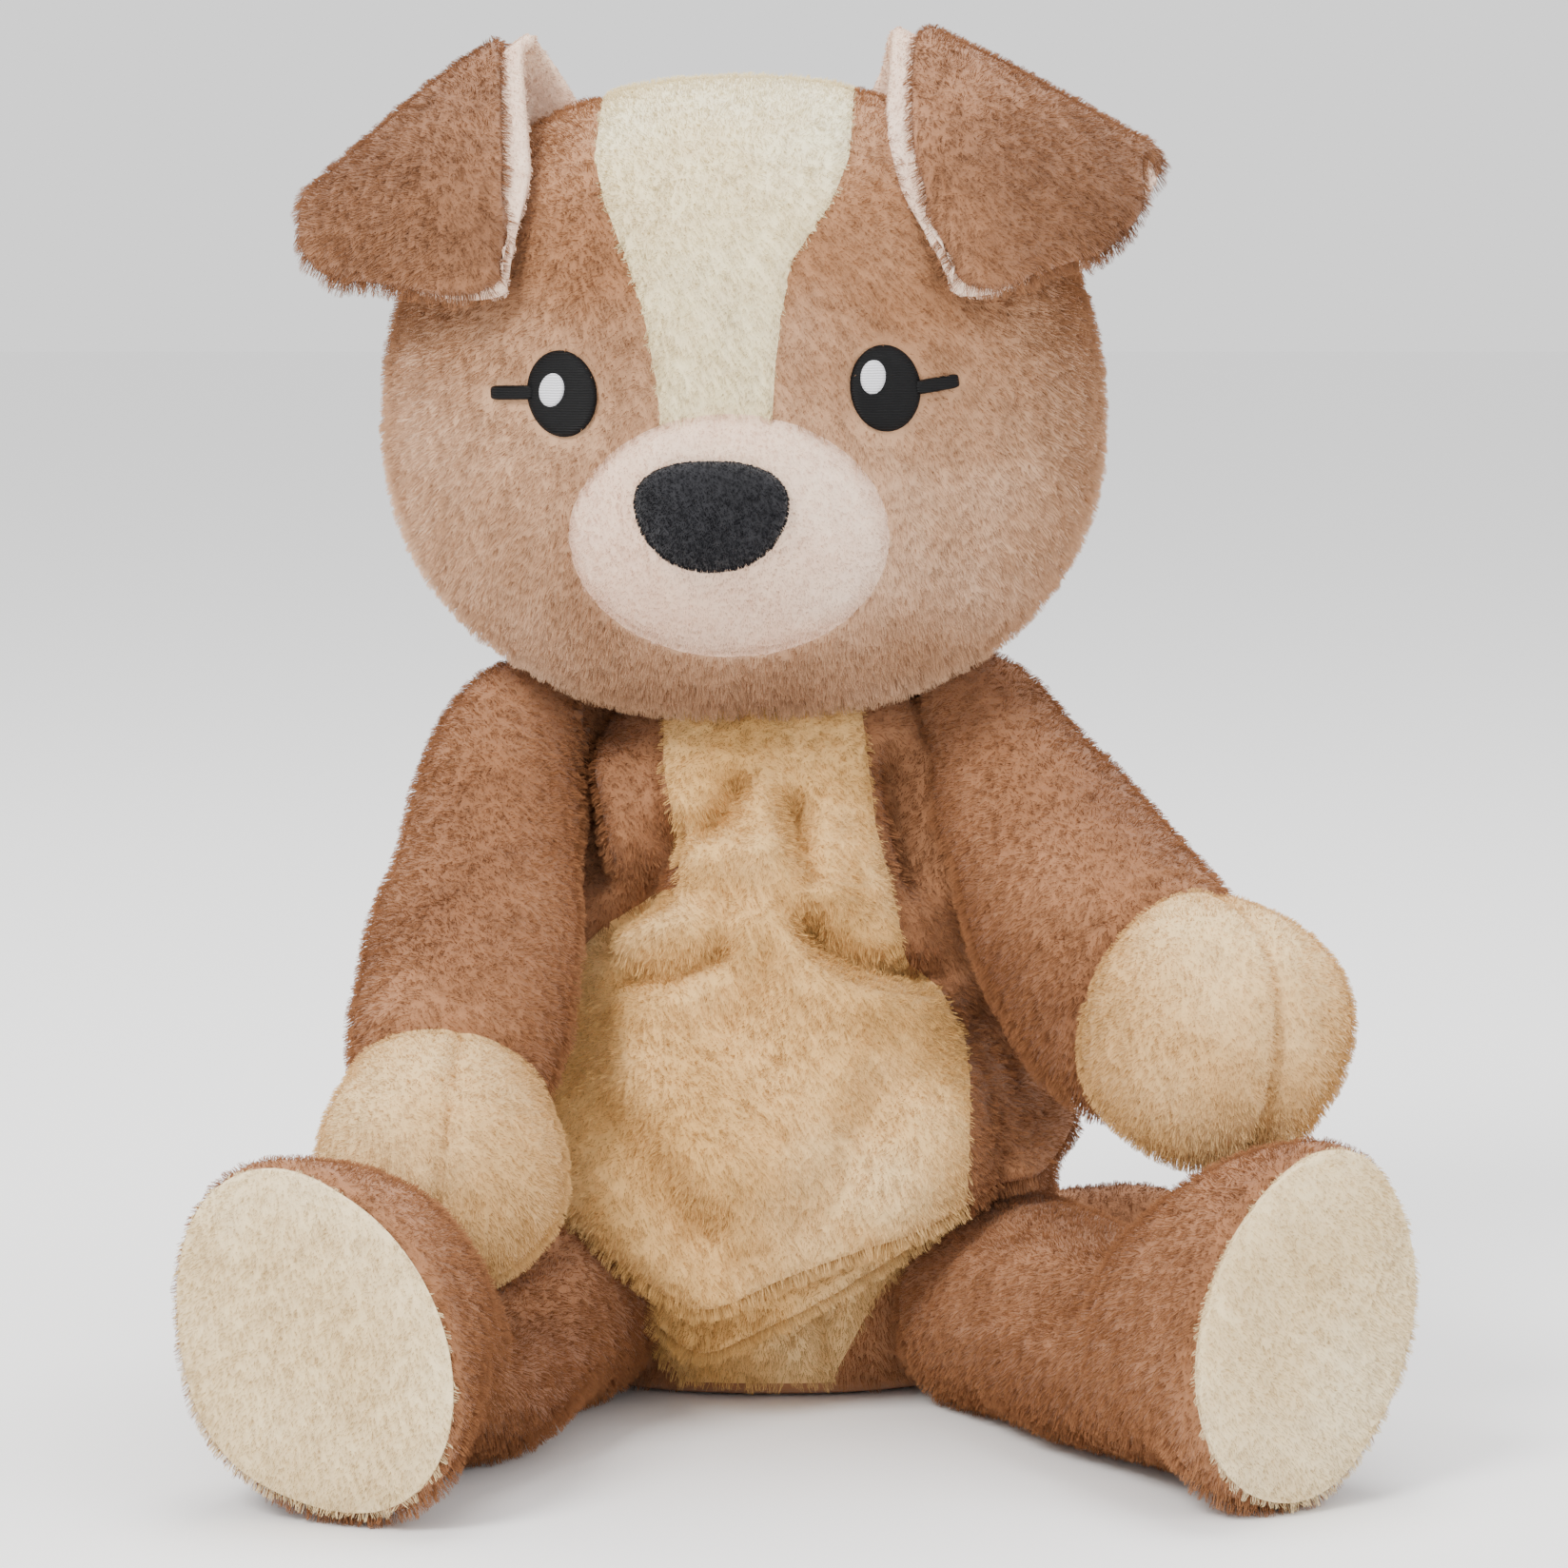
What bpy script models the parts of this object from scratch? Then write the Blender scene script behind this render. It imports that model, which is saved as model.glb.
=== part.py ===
"""Seated plush dog: sewn pile-fabric skins over soft filling, with floppy joints.

The dog sits on the plane z = 0 and faces -Y.  +X is the dog's own left side.
All sizes are metres.  Run with:  blender --background --python part.py
"""

import math

import bmesh
import bpy
from mathutils import Matrix, Vector

# ---------------------------------------------------------------- driving sizes
MM = 0.001
GAP = 0.4 * MM                    # clear space between neighbouring pieces
PILE_CLOTH = 2.0 * MM             # thickness of the pile fabric skins
FELT = 0.9 * MM                   # thickness of an embroidered patch
FILL_GAP = PILE_CLOTH + 4 * GAP   # skin outside to filling outside

HEAD_SIZE = Vector((164, 134, 146)) * MM
HEAD_CENTRE = Vector((-3.7, -12, 228.5)) * MM
HEAD_TAPER = 0.06                 # cheeks wider than the crown by this share
CROWN_SEAM_Y = 8 * MM             # seam between the face and the back of the head

MUZZLE_CENTRE = Vector((-6.7, 0, 199.5)) * MM
MUZZLE_RADII = Vector((35, 27.5)) * MM
MUZZLE_PROUD = 3 * MM             # the muzzle pad stands this far off the face
NOSE_CENTRE = Vector((-10.5, -79, 205)) * MM
NOSE_RADII = Vector((17.5, 8, 12.5)) * MM

EYE_RADII = Vector((7.6, 9.4)) * MM
GLINT_RADII = Vector((2.9, 3.9)) * MM
LASH_SIZE = Vector((8.5, 3)) * MM

NECK_RADIUS = 22 * MM
TORSO_TOP = 147 * MM
NECK_TOP = 153.6 * MM
HEAD_FLOOR = 157.2 * MM           # flat under the head; the gap lets the head nod

EAR_CLOTH = 2.2 * MM
FLAP_BULGE = 10 * MM              # the hanging flap bows off the head by this much
LIMB_SIDES = 14                   # facets round a limb
TORSO_SIDES = 26

HIP_RIGHT = (-47, -37)            # vertical hip axes, in millimetres
HIP_LEFT = (55, -37)
HIP_SOCKET = (28, 54)             # radius and height of the room for a thigh
THIGH_HEIGHT = 25.9               # middle of the round end of a thigh
TAIL_ROOT = (36, 66)
PAW_SEAM_SHIFT = 3.1 * MM         # the seam of a paw lies this far to the dog's left
SHOULDER_RIGHT = Vector((-56.5, -3, 150)) * MM
SHOULDER_LEFT = Vector((54.5, -3, 151)) * MM
FLOOR_GAP = 0.4                   # millimetres under the limbs

COLOURS = {
    "brown": (0.40, 0.235, 0.155),
    "cream": (0.72, 0.58, 0.40),
    "golden_cream": (0.62, 0.44, 0.25),
    "pink": (0.70, 0.52, 0.44),
    "black": (0.02, 0.02, 0.024),
    "white": (0.62, 0.62, 0.66),
    "filling": (0.80, 0.80, 0.77),
    "beads": (0.55, 0.57, 0.60),
}


# ---------------------------------------------------------------- scene helpers
def clear_scene():
    for obj in list(bpy.data.objects):
        bpy.data.objects.remove(obj)


def new_collection(name):
    collection = bpy.data.collections.new(name)
    bpy.context.scene.collection.children.link(collection)
    return collection


def material(kind):
    name = "plush_" + kind
    if name in bpy.data.materials:
        return bpy.data.materials[name]
    mat = bpy.data.materials.new(name)
    mat.use_nodes = True
    shader = mat.node_tree.nodes["Principled BSDF"]
    shader.inputs["Base Color"].default_value = (*COLOURS[kind], 1)
    shader.inputs["Roughness"].default_value = 0.95
    shader.inputs["Metallic"].default_value = 0
    return mat


def new_object(name, mesh, kind=None):
    """Put a mesh in the dog, or among the cutters when it has no material."""
    obj = bpy.data.objects.new(name, mesh)
    mesh.name = name
    if kind is None:
        CUTTERS.objects.link(obj)
        obj.hide_render = True
        obj.display_type = "WIRE"
    else:
        DOG.objects.link(obj)
        mesh.materials.clear()
        mesh.materials.append(material(kind))
        mesh.shade_smooth()
    return obj


def pivot(name, place):
    """An empty on a joint's axis; the pieces of that body hang from it."""
    empty = bpy.data.objects.new(name, None)
    empty.location = place
    DOG.objects.link(empty)
    return empty


def hang(empty, *pieces):
    for piece in pieces:
        piece.parent = empty
        piece.matrix_parent_inverse = Matrix.Translation(-empty.location)


def evaluated_mesh(obj):
    bpy.context.view_layer.update()
    depsgraph = bpy.context.evaluated_depsgraph_get()
    return bpy.data.meshes.new_from_object(obj.evaluated_get(depsgraph))


# ---------------------------------------------------------------- modifiers
def subdivide(obj, levels):
    mod = obj.modifiers.new("subdivide", "SUBSURF")
    mod.levels = levels
    mod.render_levels = levels


def displace(obj, distance):
    mod = obj.modifiers.new("stand_off", "DISPLACE")
    mod.mid_level = 0
    mod.strength = distance


def solidify(obj, thickness, offset=-1):
    """offset -1 grows the cloth inwards from the surface, +1 outwards."""
    mod = obj.modifiers.new("cloth", "SOLIDIFY")
    mod.thickness = thickness
    mod.offset = offset


def boolean(obj, cutter, operation):
    mod = obj.modifiers.new(operation.lower(), "BOOLEAN")
    mod.operation = operation
    mod.solver = "EXACT"
    mod.object = cutter
    return obj


def keep(obj, cutter):
    return boolean(obj, cutter, "INTERSECT")


def cut(obj, cutter):
    return boolean(obj, cutter, "DIFFERENCE")


# ---------------------------------------------------------------- solids
def box(name, low, high):
    """A cutter box between two corners."""
    low, high = Vector(low), Vector(high)
    bpy.ops.mesh.primitive_cube_add(size=1)
    cube = bpy.context.object
    cube.data.transform(Matrix.LocRotScale((low + high) / 2, None, high - low))
    mesh = cube.data
    bpy.data.objects.remove(cube)
    return new_object(name, mesh)


def half_space(name, point, normal):
    """A big cutter box on the side of a plane that its normal points to."""
    reach = 0.3
    block = box(name, (-reach, -reach, 0), (reach, reach, reach))
    turn = Vector((0, 0, 1)).rotation_difference(Vector(normal)).to_matrix().to_4x4()
    block.data.transform(Matrix.Translation(point) @ turn)
    return block


def ellipsoid(name, centre, radii, kind=None, segments=20, rings=12):
    bpy.ops.mesh.primitive_uv_sphere_add(segments=segments, ring_count=rings)
    sphere = bpy.context.object
    sphere.data.transform(Matrix.LocRotScale(centre, None, radii))
    mesh = sphere.data
    bpy.data.objects.remove(sphere)
    return new_object(name, mesh, kind)


def oval_prism(name, centre, radii, roll=0, depth=(-160 * MM, -20 * MM), sides=28):
    """A cutter that runs along Y with an oval outline in the XZ plane."""
    bpy.ops.mesh.primitive_cylinder_add(vertices=sides)
    rod = bpy.context.object
    middle = Vector((centre[0], (depth[0] + depth[1]) / 2, centre[2]))
    turn = Matrix.Rotation(roll, 4, "Y") @ Matrix.Rotation(math.pi / 2, 4, "X")
    size = Vector((radii[0], radii[1], (depth[1] - depth[0]) / 2))
    rod.data.transform(Matrix.Translation(middle) @ turn @ Matrix.Diagonal((*size, 1)))
    mesh = rod.data
    bpy.data.objects.remove(rod)
    return new_object(name, mesh)


def outline_prism(name, points, depth):
    """A cutter that runs along Y, from a closed XZ outline made as a filled curve."""
    curve = bpy.data.curves.new(name, "CURVE")
    curve.dimensions = "2D"
    curve.fill_mode = "BOTH"
    curve.extrude = (depth[1] - depth[0]) / 2
    spline = curve.splines.new("POLY")
    spline.points.add(len(points) - 1)
    for point, (x, z) in zip(spline.points, points):
        point.co = (x, z, 0, 1)
    spline.use_cyclic_u = True
    flat = bpy.data.objects.new(name, curve)
    CUTTERS.objects.link(flat)
    mesh = evaluated_mesh(flat)
    bpy.data.objects.remove(flat)
    weld(mesh)
    upright = Matrix.Rotation(math.pi / 2, 4, "X")
    mesh.transform(Matrix.Translation((0, (depth[0] + depth[1]) / 2, 0)) @ upright)
    return new_object(name, mesh)


def weld(mesh):
    work = bmesh.new()
    work.from_mesh(mesh)
    bmesh.ops.remove_doubles(work, verts=work.verts, dist=0.01 * MM)
    work.to_mesh(mesh)
    work.free()


# ---------------------------------------------------------------- lofted soft forms
def ring_frame(stations, index):
    """Directions across and up a limb at one of its stations."""
    before = Vector(stations[max(index - 1, 0)][0])
    after = Vector(stations[min(index + 1, len(stations) - 1)][0])
    along = (after - before).normalized()
    across = along.cross(Vector((0, 0, 1)))
    if across.length < 0.05:
        across = Vector((1, 0, 0))
    across.normalize()
    return across, across.cross(along).normalized()


def ring_points(stations, index, sides):
    """Points round the limb; a station is (centre, half width, half height, roll)."""
    centre, wide, high, roll = stations[index]
    across, upward = ring_frame(stations, index)
    points = []
    for step in range(sides):
        angle = 2 * math.pi * step / sides
        u = wide * math.cos(angle)
        v = high * math.sin(angle)
        side = u * math.cos(roll) - v * math.sin(roll)
        rise = u * math.sin(roll) + v * math.cos(roll)
        points.append(Vector(centre) + side * across + rise * upward)
    return points


def loft(name, stations, kind, sides=LIMB_SIDES, open_ends=False):
    """A closed form over a chain of oval rings, or a tube with open ends."""
    verts, faces = [], []
    for index in range(len(stations)):
        verts.extend(ring_points(stations, index, sides))
    for ring in range(len(stations) - 1):
        for step in range(sides):
            a = ring * sides + step
            b = ring * sides + (step + 1) % sides
            faces.append((a, b, b + sides, a + sides))
    last = (len(stations) - 1) * sides
    if not open_ends:
        faces.append(tuple(reversed(range(sides))))
        faces.append(tuple(range(last, last + sides)))
    mesh = bpy.data.meshes.new(name)
    mesh.from_pydata(verts, [], faces)
    obj = new_object(name, mesh, kind)
    face_outwards(mesh)
    return obj


def face_outwards(mesh):
    work = bmesh.new()
    work.from_mesh(mesh)
    bmesh.ops.recalc_face_normals(work, faces=work.faces)
    work.to_mesh(mesh)
    work.free()


def station(x, y, z, wide, high, roll=0):
    """One limb ring, given in millimetres and degrees."""
    return ((x * MM, y * MM, z * MM), wide * MM, high * MM, math.radians(roll))


# ---------------------------------------------------------------- head
def head_surface(name, kind):
    """The whole egg of the head: a cube cage, subdivided and fitted to size."""
    bpy.ops.mesh.primitive_cube_add(size=2)
    cage = bpy.context.object
    for vert in cage.data.vertices:
        vert.co.x *= 1 - HEAD_TAPER * (1 if vert.co.z > 0 else -1)
    subdivide(cage, 3)
    reach = evaluated_mesh(cage)
    half = [max(abs(v.co[axis]) for v in reach.vertices) for axis in range(3)]
    bpy.data.meshes.remove(reach)
    scale = Vector(HEAD_SIZE[axis] / 2 / half[axis] for axis in range(3))
    mesh = cage.data
    bpy.data.objects.remove(cage)
    mesh.transform(Matrix.LocRotScale(HEAD_CENTRE, None, scale))
    obj = new_object(name, mesh, kind)
    subdivide(obj, 3)
    return obj


def blaze_outline(extra):
    """Blaze seen from the front: wide on the crown, narrow above the muzzle."""
    left = [(-35, 320), (-35, 290), (-32, 268), (-24, 250), (-21, 226), (-21, 205)]
    right = [(3, 205), (3, 226), (6, 250), (18, 275), (21, 290), (21, 320)]
    points = [(x * MM - extra, z * MM) for x, z in left]
    points += [(x * MM + extra, z * MM) for x, z in right]
    return points


def head_floor():
    return box("head_floor", (-0.2, -0.3, 0.1), (0.2, 0.3, HEAD_FLOOR))


def head_skins():
    front = box("front_half", (-0.2, -0.3, 0), (0.2, CROWN_SEAM_Y - GAP / 2, 0.4))
    back = box("back_half", (-0.2, CROWN_SEAM_Y + GAP / 2, 0), (0.2, 0.3, 0.4))
    middle = HEAD_CENTRE.x
    left_side = box("left_side", (middle + GAP / 2, -0.3, 0), (0.2, 0.3, 0.4))
    right_side = box("right_side", (-0.2, -0.3, 0), (middle - GAP / 2, 0.3, 0.4))
    reach = (-120 * MM, CROWN_SEAM_Y)
    blaze = outline_prism("blaze_cut", blaze_outline(0), reach)
    blaze_clear = outline_prism("blaze_clearance", blaze_outline(GAP), (reach[0], 30 * MM))
    muzzle = (MUZZLE_CENTRE, MUZZLE_RADII)
    muzzle_clear = oval_prism("muzzle_clearance", muzzle[0], muzzle[1] + Vector((GAP, GAP)))
    floor = head_floor()

    skins = []
    for name, side in (("head_side_left", left_side), ("head_side_right", right_side)):
        skin = head_surface(name, "brown")
        solidify(skin, PILE_CLOTH)
        keep(keep(skin, front), side)
        cut(cut(cut(skin, blaze_clear), muzzle_clear), floor)
        skins.append(skin)
    for name, side in (("head_back_left", left_side), ("head_back_right", right_side)):
        skin = head_surface(name, "brown")
        solidify(skin, PILE_CLOTH)
        cut(keep(keep(skin, back), side), floor)
        skins.append(skin)
    skin = head_surface("forehead_blaze", "cream")
    solidify(skin, PILE_CLOTH)
    keep(keep(cut(skin, muzzle_clear), front), blaze)
    skins.append(skin)
    return skins


def muzzle_and_nose():
    pad = patch("muzzle", "pink", -PILE_CLOTH, PILE_CLOTH + MUZZLE_PROUD,
                oval_prism("muzzle_cut", MUZZLE_CENTRE, MUZZLE_RADII))
    nose = ellipsoid("nose", NOSE_CENTRE, NOSE_RADII, "black", 20, 12)
    room = head_surface("muzzle_room", None)
    displace(room, MUZZLE_PROUD + GAP)
    return [pad, cut(nose, room)]


def patch(name, kind, stand_off, thickness, cutter):
    """A felt patch that follows the head's surface."""
    obj = head_surface(name, kind)
    displace(obj, stand_off)
    solidify(obj, thickness, 1)
    return keep(obj, cutter)


def eye(side, place, glint_place, lash_place, lash_roll):
    """One embroidered eye: patch, pale highlight on it and a lash beside it."""
    outline = oval_prism(f"eye_cut_{side}", place, EYE_RADII)
    glint = oval_prism(f"glint_cut_{side}", glint_place, GLINT_RADII, math.radians(12))
    clear = oval_prism(f"lash_clearance_{side}", place, EYE_RADII + Vector((GAP, GAP)))
    pieces = [patch(f"eye_{side}", "black", GAP, FELT, outline)]
    pieces.append(patch(f"eye_highlight_{side}", "white", 2 * GAP + FELT, FELT / 2, glint))
    half = Vector((LASH_SIZE.x / 2, 120 * MM, LASH_SIZE.y / 2))
    bar = box(f"lash_cut_{side}", -half, half)
    bar.data.transform(Matrix.Translation(lash_place) @ Matrix.Rotation(lash_roll, 4, "Y"))
    keep(bar, box(f"face_side_{side}", (-0.2, -0.3, 0.1), (0.2, HEAD_CENTRE.y, 0.4)))
    lash = patch(f"eyelash_{side}", "black", GAP, FELT, bar)
    pieces.append(cut(lash, clear))
    return pieces


def head_filling():
    core = head_surface("head_stuffing", "filling")
    displace(core, -FILL_GAP)
    rim = box("stuffing_floor", (-0.2, -0.3, 0.1), (0.2, 0.3, HEAD_FLOOR + GAP))
    return cut(core, rim)


# ---------------------------------------------------------------- ears
def leaf(name, kind, corners, bulge, depth):
    """One cloth layer over four corners: fold inner, fold outer, edge outer, edge inner."""
    steps = 3
    fold_in, fold_out, edge_out, edge_in = (Vector(c) * MM for c in corners)
    outward = (fold_out - fold_in).cross(edge_in - fold_in).normalized()
    if outward.y > 0:
        outward.negate()
    verts, faces = [], []
    for i in range(steps + 1):
        for j in range(steps + 1):
            u, v = i / steps, j / steps
            point = fold_in.lerp(fold_out, u).lerp(edge_in.lerp(edge_out, u), v)
            verts.append(point + outward * bulge * (1 - 0.6 * u) * math.sin(math.pi * v))
    for i in range(steps):
        for j in range(steps):
            a = i * (steps + 1) + j
            faces.append((a, a + 1, a + steps + 2, a + steps + 1))
    mesh = bpy.data.meshes.new(name)
    mesh.from_pydata(verts, [], faces)
    obj = new_object(name, mesh, kind)
    if mesh.polygons[0].normal.dot(outward) < 0:
        mesh.flip_normals()
    subdivide(obj, 1)
    displace(obj, -depth)
    solidify(obj, EAR_CLOTH)
    return obj


def ear(side, flap_corners, base_corners, head):
    """A folded ear: a standing base of two layers, a hanging flap of two layers."""
    under = EAR_CLOTH + GAP
    flap = [leaf(f"ear_flap_outer_{side}", "brown", flap_corners, FLAP_BULGE, 0)]
    flap.append(leaf(f"ear_flap_lining_{side}", "pink", flap_corners, FLAP_BULGE, under))
    base = [leaf(f"ear_base_lining_{side}", "pink", base_corners, 0, 0)]
    base.append(leaf(f"ear_base_outer_{side}", "brown", base_corners, 0, under))
    head_clear = head_surface(f"head_clearance_{side}", None)
    displace(head_clear, GAP)
    for piece in base:
        cut(piece, head_clear)
    hinge = pivot(f"ear_hinge_{side}", Vector(flap_corners[0]) * MM)
    hang(hinge, *flap)
    hang(head, hinge, *base)


# ---------------------------------------------------------------- limbs
def resting(x, y, wide, high, roll=0):
    """A station that lies on the floor: its height follows from its oval."""
    turn = math.radians(roll)
    rise = math.hypot(high * math.cos(turn), wide * math.sin(turn))
    return station(x, y, rise + FLOOR_GAP, wide, high, roll)


def skin(name, stations, kind, sides=LIMB_SIDES):
    """The hollow cloth skin of a closed form; it still has to be cut open."""
    shell = loft(name, stations, kind, sides)
    solidify(shell, PILE_CLOTH)
    return shell


def filling(name, stations, sides=LIMB_SIDES):
    """The soft filling that fits inside the skin over the same rings."""
    slimmer = [(c, w - GAP, h - GAP, roll) for c, w, h, roll in stations]
    core = loft(name, slimmer, "filling", sides)
    displace(core, -FILL_GAP)
    return core


def seam_cutters(name, stations, index):
    """Cutters behind and ahead of one ring's plane, with the gap between them."""
    point = Vector(stations[index][0])
    along = (Vector(stations[index + 1][0]) - Vector(stations[index - 1][0])).normalized()
    behind = half_space(f"{name}_behind", point - along * GAP / 2, -along)
    ahead = half_space(f"{name}_ahead", point + along * GAP / 2, along)
    return behind, ahead


def arm(side, rings, wrist, shoulder):
    """Brown sleeve and a ball paw of two cream panels, round one filling."""
    behind, ahead = seam_cutters(f"wrist_{side}", rings, wrist)
    sleeve = keep(skin(f"arm_sleeve_{side}", rings, "brown"), behind)
    middle = rings[wrist + 2][0][0] + PAW_SEAM_SHIFT
    low_x = box(f"paw_low_x_{side}", (-0.2, -0.3, 0), (middle - GAP / 2, 0.3, 0.3))
    high_x = box(f"paw_high_x_{side}", (middle + GAP / 2, -0.3, 0), (0.2, 0.3, 0.3))
    facing = ("outer", "inner") if side == "right" else ("inner", "outer")
    pieces = [sleeve, filling(f"arm_stuffing_{side}", rings)]
    for where, half in zip(facing, (low_x, high_x)):
        panel = skin(f"paw_{where}_panel_{side}", rings, "cream")
        pieces.append(keep(keep(panel, ahead), half))
    hang(pivot(f"shoulder_{side}", shoulder), *pieces)


def leg(side, rings, hip):
    """Brown leg and foot in one sleeve, closed in front by a cream sole."""
    (before, _, _, _), (end, wide, high, roll) = rings[-2:]
    onward = (Vector(end) - Vector(before)).normalized()
    for ahead, narrower in ((2 * MM, 1 * MM), (4 * MM, 7 * MM)):
        centre = Vector(end) + onward * ahead
        rings = rings + [(tuple(centre), wide - narrower, high - narrower, roll)]
    behind, ahead = seam_cutters(f"sole_{side}", rings, len(rings) - 3)
    sleeve = keep(skin(f"leg_sleeve_{side}", rings, "brown"), behind)
    sole = keep(skin(f"foot_sole_{side}", rings, "cream"), ahead)
    fill = filling(f"leg_stuffing_{side}", rings)
    hang(pivot(f"hip_{side}", Vector((*hip, 0)) * MM), sleeve, sole, fill)


def tail():
    x, y = TAIL_ROOT
    rings = [resting(x - 9, y, 3, 4), resting(x - 6, y, 8, 9), resting(x, y, 11.5, 12)]
    rings += [resting(x + 19, y + 2, 13, 13.5), resting(x + 39, y + 4, 14, 15)]
    rings += [resting(x + 56, y + 5, 14, 15.5), resting(x + 65, y + 5, 10, 12)]
    rings += [resting(x + 70, y + 5, 4, 6)]
    mouth = box("tail_mouth", ((x - 20) * MM, 0, 0), ((x - 7) * MM, 0.1, 0.05))
    cover = cut(skin("tail_skin", rings, "brown"), mouth)
    fill = filling("tail_stuffing", rings)
    hang(pivot("tail_joint", Vector((x, y, 0)) * MM), cover, fill)


# ---------------------------------------------------------------- torso and neck
def torso_rings():
    profile = [(0, 50, 40), (3, 55, 45), (14, 61, 50), (38, 66, 54), (70, 67, 55)]
    profile += [(98, 60, 50), (122, 49, 41), (138, 43, 36), (147, 37, 30)]
    return [station(3, 8 - 3 * max(z - 3, 0) / 144, z, wide, deep) for z, wide, deep in profile]


def belly_outline(extra):
    """Cream panel: a chest stripe, a wide belly and a narrow piece between the legs."""
    right = [(-18, 160), (-18, 130), (-34, 114), (-50, 100), (-53, 76), (-48, 50), (-24, -5)]
    left = [(26, -5), (46, 50), (53, 76), (50, 100), (34, 118), (26, 132), (22, 160)]
    points = [(x * MM - extra, z * MM) for x, z in right]
    return points + [(x * MM + extra, z * MM) for x, z in left]


def hip_room(name, hip, extra=0.0):
    radius, height = HIP_SOCKET
    bpy.ops.mesh.primitive_cylinder_add(vertices=32)
    rod = bpy.context.object
    size = Vector((radius * MM + extra, radius * MM + extra, (height * MM + extra + 10 * MM) / 2))
    middle = Vector((hip[0] * MM, hip[1] * MM, size.z - 10 * MM))
    mesh = rod.data
    mesh.transform(Matrix.LocRotScale(middle, None, size))
    bpy.data.objects.remove(rod)
    return new_object(name, mesh)


def torso():
    rings = torso_rings()
    rooms = [hip_room("hip_room_right", HIP_RIGHT), hip_room("hip_room_left", HIP_LEFT)]
    middle = rings[0][0][0]
    back_seam = 24 * MM
    seat_seam = 2.4 * MM
    belly = outline_prism("belly_cut", belly_outline(0), (-0.1, 0))
    belly_clear = outline_prism("belly_clearance", belly_outline(GAP), (-0.1, GAP))
    front = box("torso_front", (-0.2, -0.2, -0.1), (0.2, back_seam - GAP, 0.3))
    back = box("torso_rear", (-0.2, back_seam, -0.1), (0.2, 0.2, 0.3))
    left = box("torso_left", (middle + GAP / 2, -0.2, -0.1), (0.2, 0.2, 0.3))
    right = box("torso_right", (-0.2, -0.2, -0.1), (middle - GAP / 2, 0.2, 0.3))
    above_seat = box("above_seat", (-0.2, -0.2, seat_seam + GAP), (0.2, 0.2, 0.3))
    seat = box("seat_slice", (-0.2, -0.2, -0.1), (0.2, 0.2, seat_seam))

    def panel(name, kind, *cutters):
        piece = skin(name, rings, kind, TORSO_SIDES)
        for cutter in cutters:
            keep(piece, cutter)
        return piece

    pieces = [panel("belly_panel", "golden_cream", above_seat, belly)]
    for side, half in (("left", left), ("right", right)):
        pieces.append(cut(panel(f"torso_side_{side}", "brown", above_seat, front, half), belly_clear))
    pieces.append(panel("torso_back", "brown", above_seat, back))
    pieces.append(panel("seat_panel", "brown", seat))
    pieces.append(cut(filling("torso_stuffing", rings, TORSO_SIDES), bead_room()))
    for piece in pieces:
        for room in rooms:
            cut(piece, room)
    pieces.append(bead_pouch())
    return pieces


def bead_room():
    rings = [station(3, 14, -5, 34, 28), station(3, 14, 27, 34, 28)]
    return loft("bead_room", rings, None, TORSO_SIDES)


def bead_pouch():
    rings = [station(3, 14, 3.2, 28, 22), station(3, 14, 7, 33, 27)]
    rings += [station(3, 14, 22, 33, 27), station(3, 14, 26, 28, 22)]
    return loft("bead_pouch", rings, "beads", TORSO_SIDES)


def neck():
    x, y = HEAD_CENTRE.x, HEAD_CENTRE.y + 12 * MM
    low, high = TORSO_TOP + GAP, NECK_TOP
    inner = NECK_RADIUS - FILL_GAP
    collar = [((x, y, z), NECK_RADIUS, NECK_RADIUS, 0) for z in (low, high)]
    collar = loft("neck_collar", collar, "brown", TORSO_SIDES, open_ends=True)
    solidify(collar, PILE_CLOTH)
    core = [((x, y, z), inner, inner, 0) for z in (low, high)]
    core = loft("neck_stuffing", core, "filling", TORSO_SIDES)
    joint = pivot("neck_joint", Vector((x, y, TORSO_TOP)))
    hang(joint, collar, core)
    return joint


# ---------------------------------------------------------------- assembly
def build_head(neck_joint):
    joint = pivot("head_joint", Vector((HEAD_CENTRE.x, 0, NECK_TOP)))
    pieces = head_skins() + muzzle_and_nose() + [head_filling()]
    pieces += eye("right", Vector((-43, 0, 231)) * MM, Vector((-45.2, 0, 231.8)) * MM,
                  Vector((-53.5, 0, 231)) * MM, math.radians(2))
    pieces += eye("left", Vector((27, 0, 232)) * MM, Vector((24.4, 0, 234.6)) * MM,
                  Vector((38, 0, 232.6)) * MM, math.radians(-6))
    hang(joint, *pieces)
    ear("right", [(-57, -15, 306), (-98, -20, 269), (-96, -36, 254), (-57, -75, 249)],
        [(-54, -5, 303), (-96, -5, 266), (-74, -5, 252), (-38, -5, 286)], joint)
    ear("left", [(41, -15, 309), (82, -18, 284), (79, -37, 264), (46, -77, 249)],
        [(37, -5, 305), (84, -5, 278), (66, -5, 252), (30, -5, 286)], joint)
    hang(neck_joint, joint)


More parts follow.
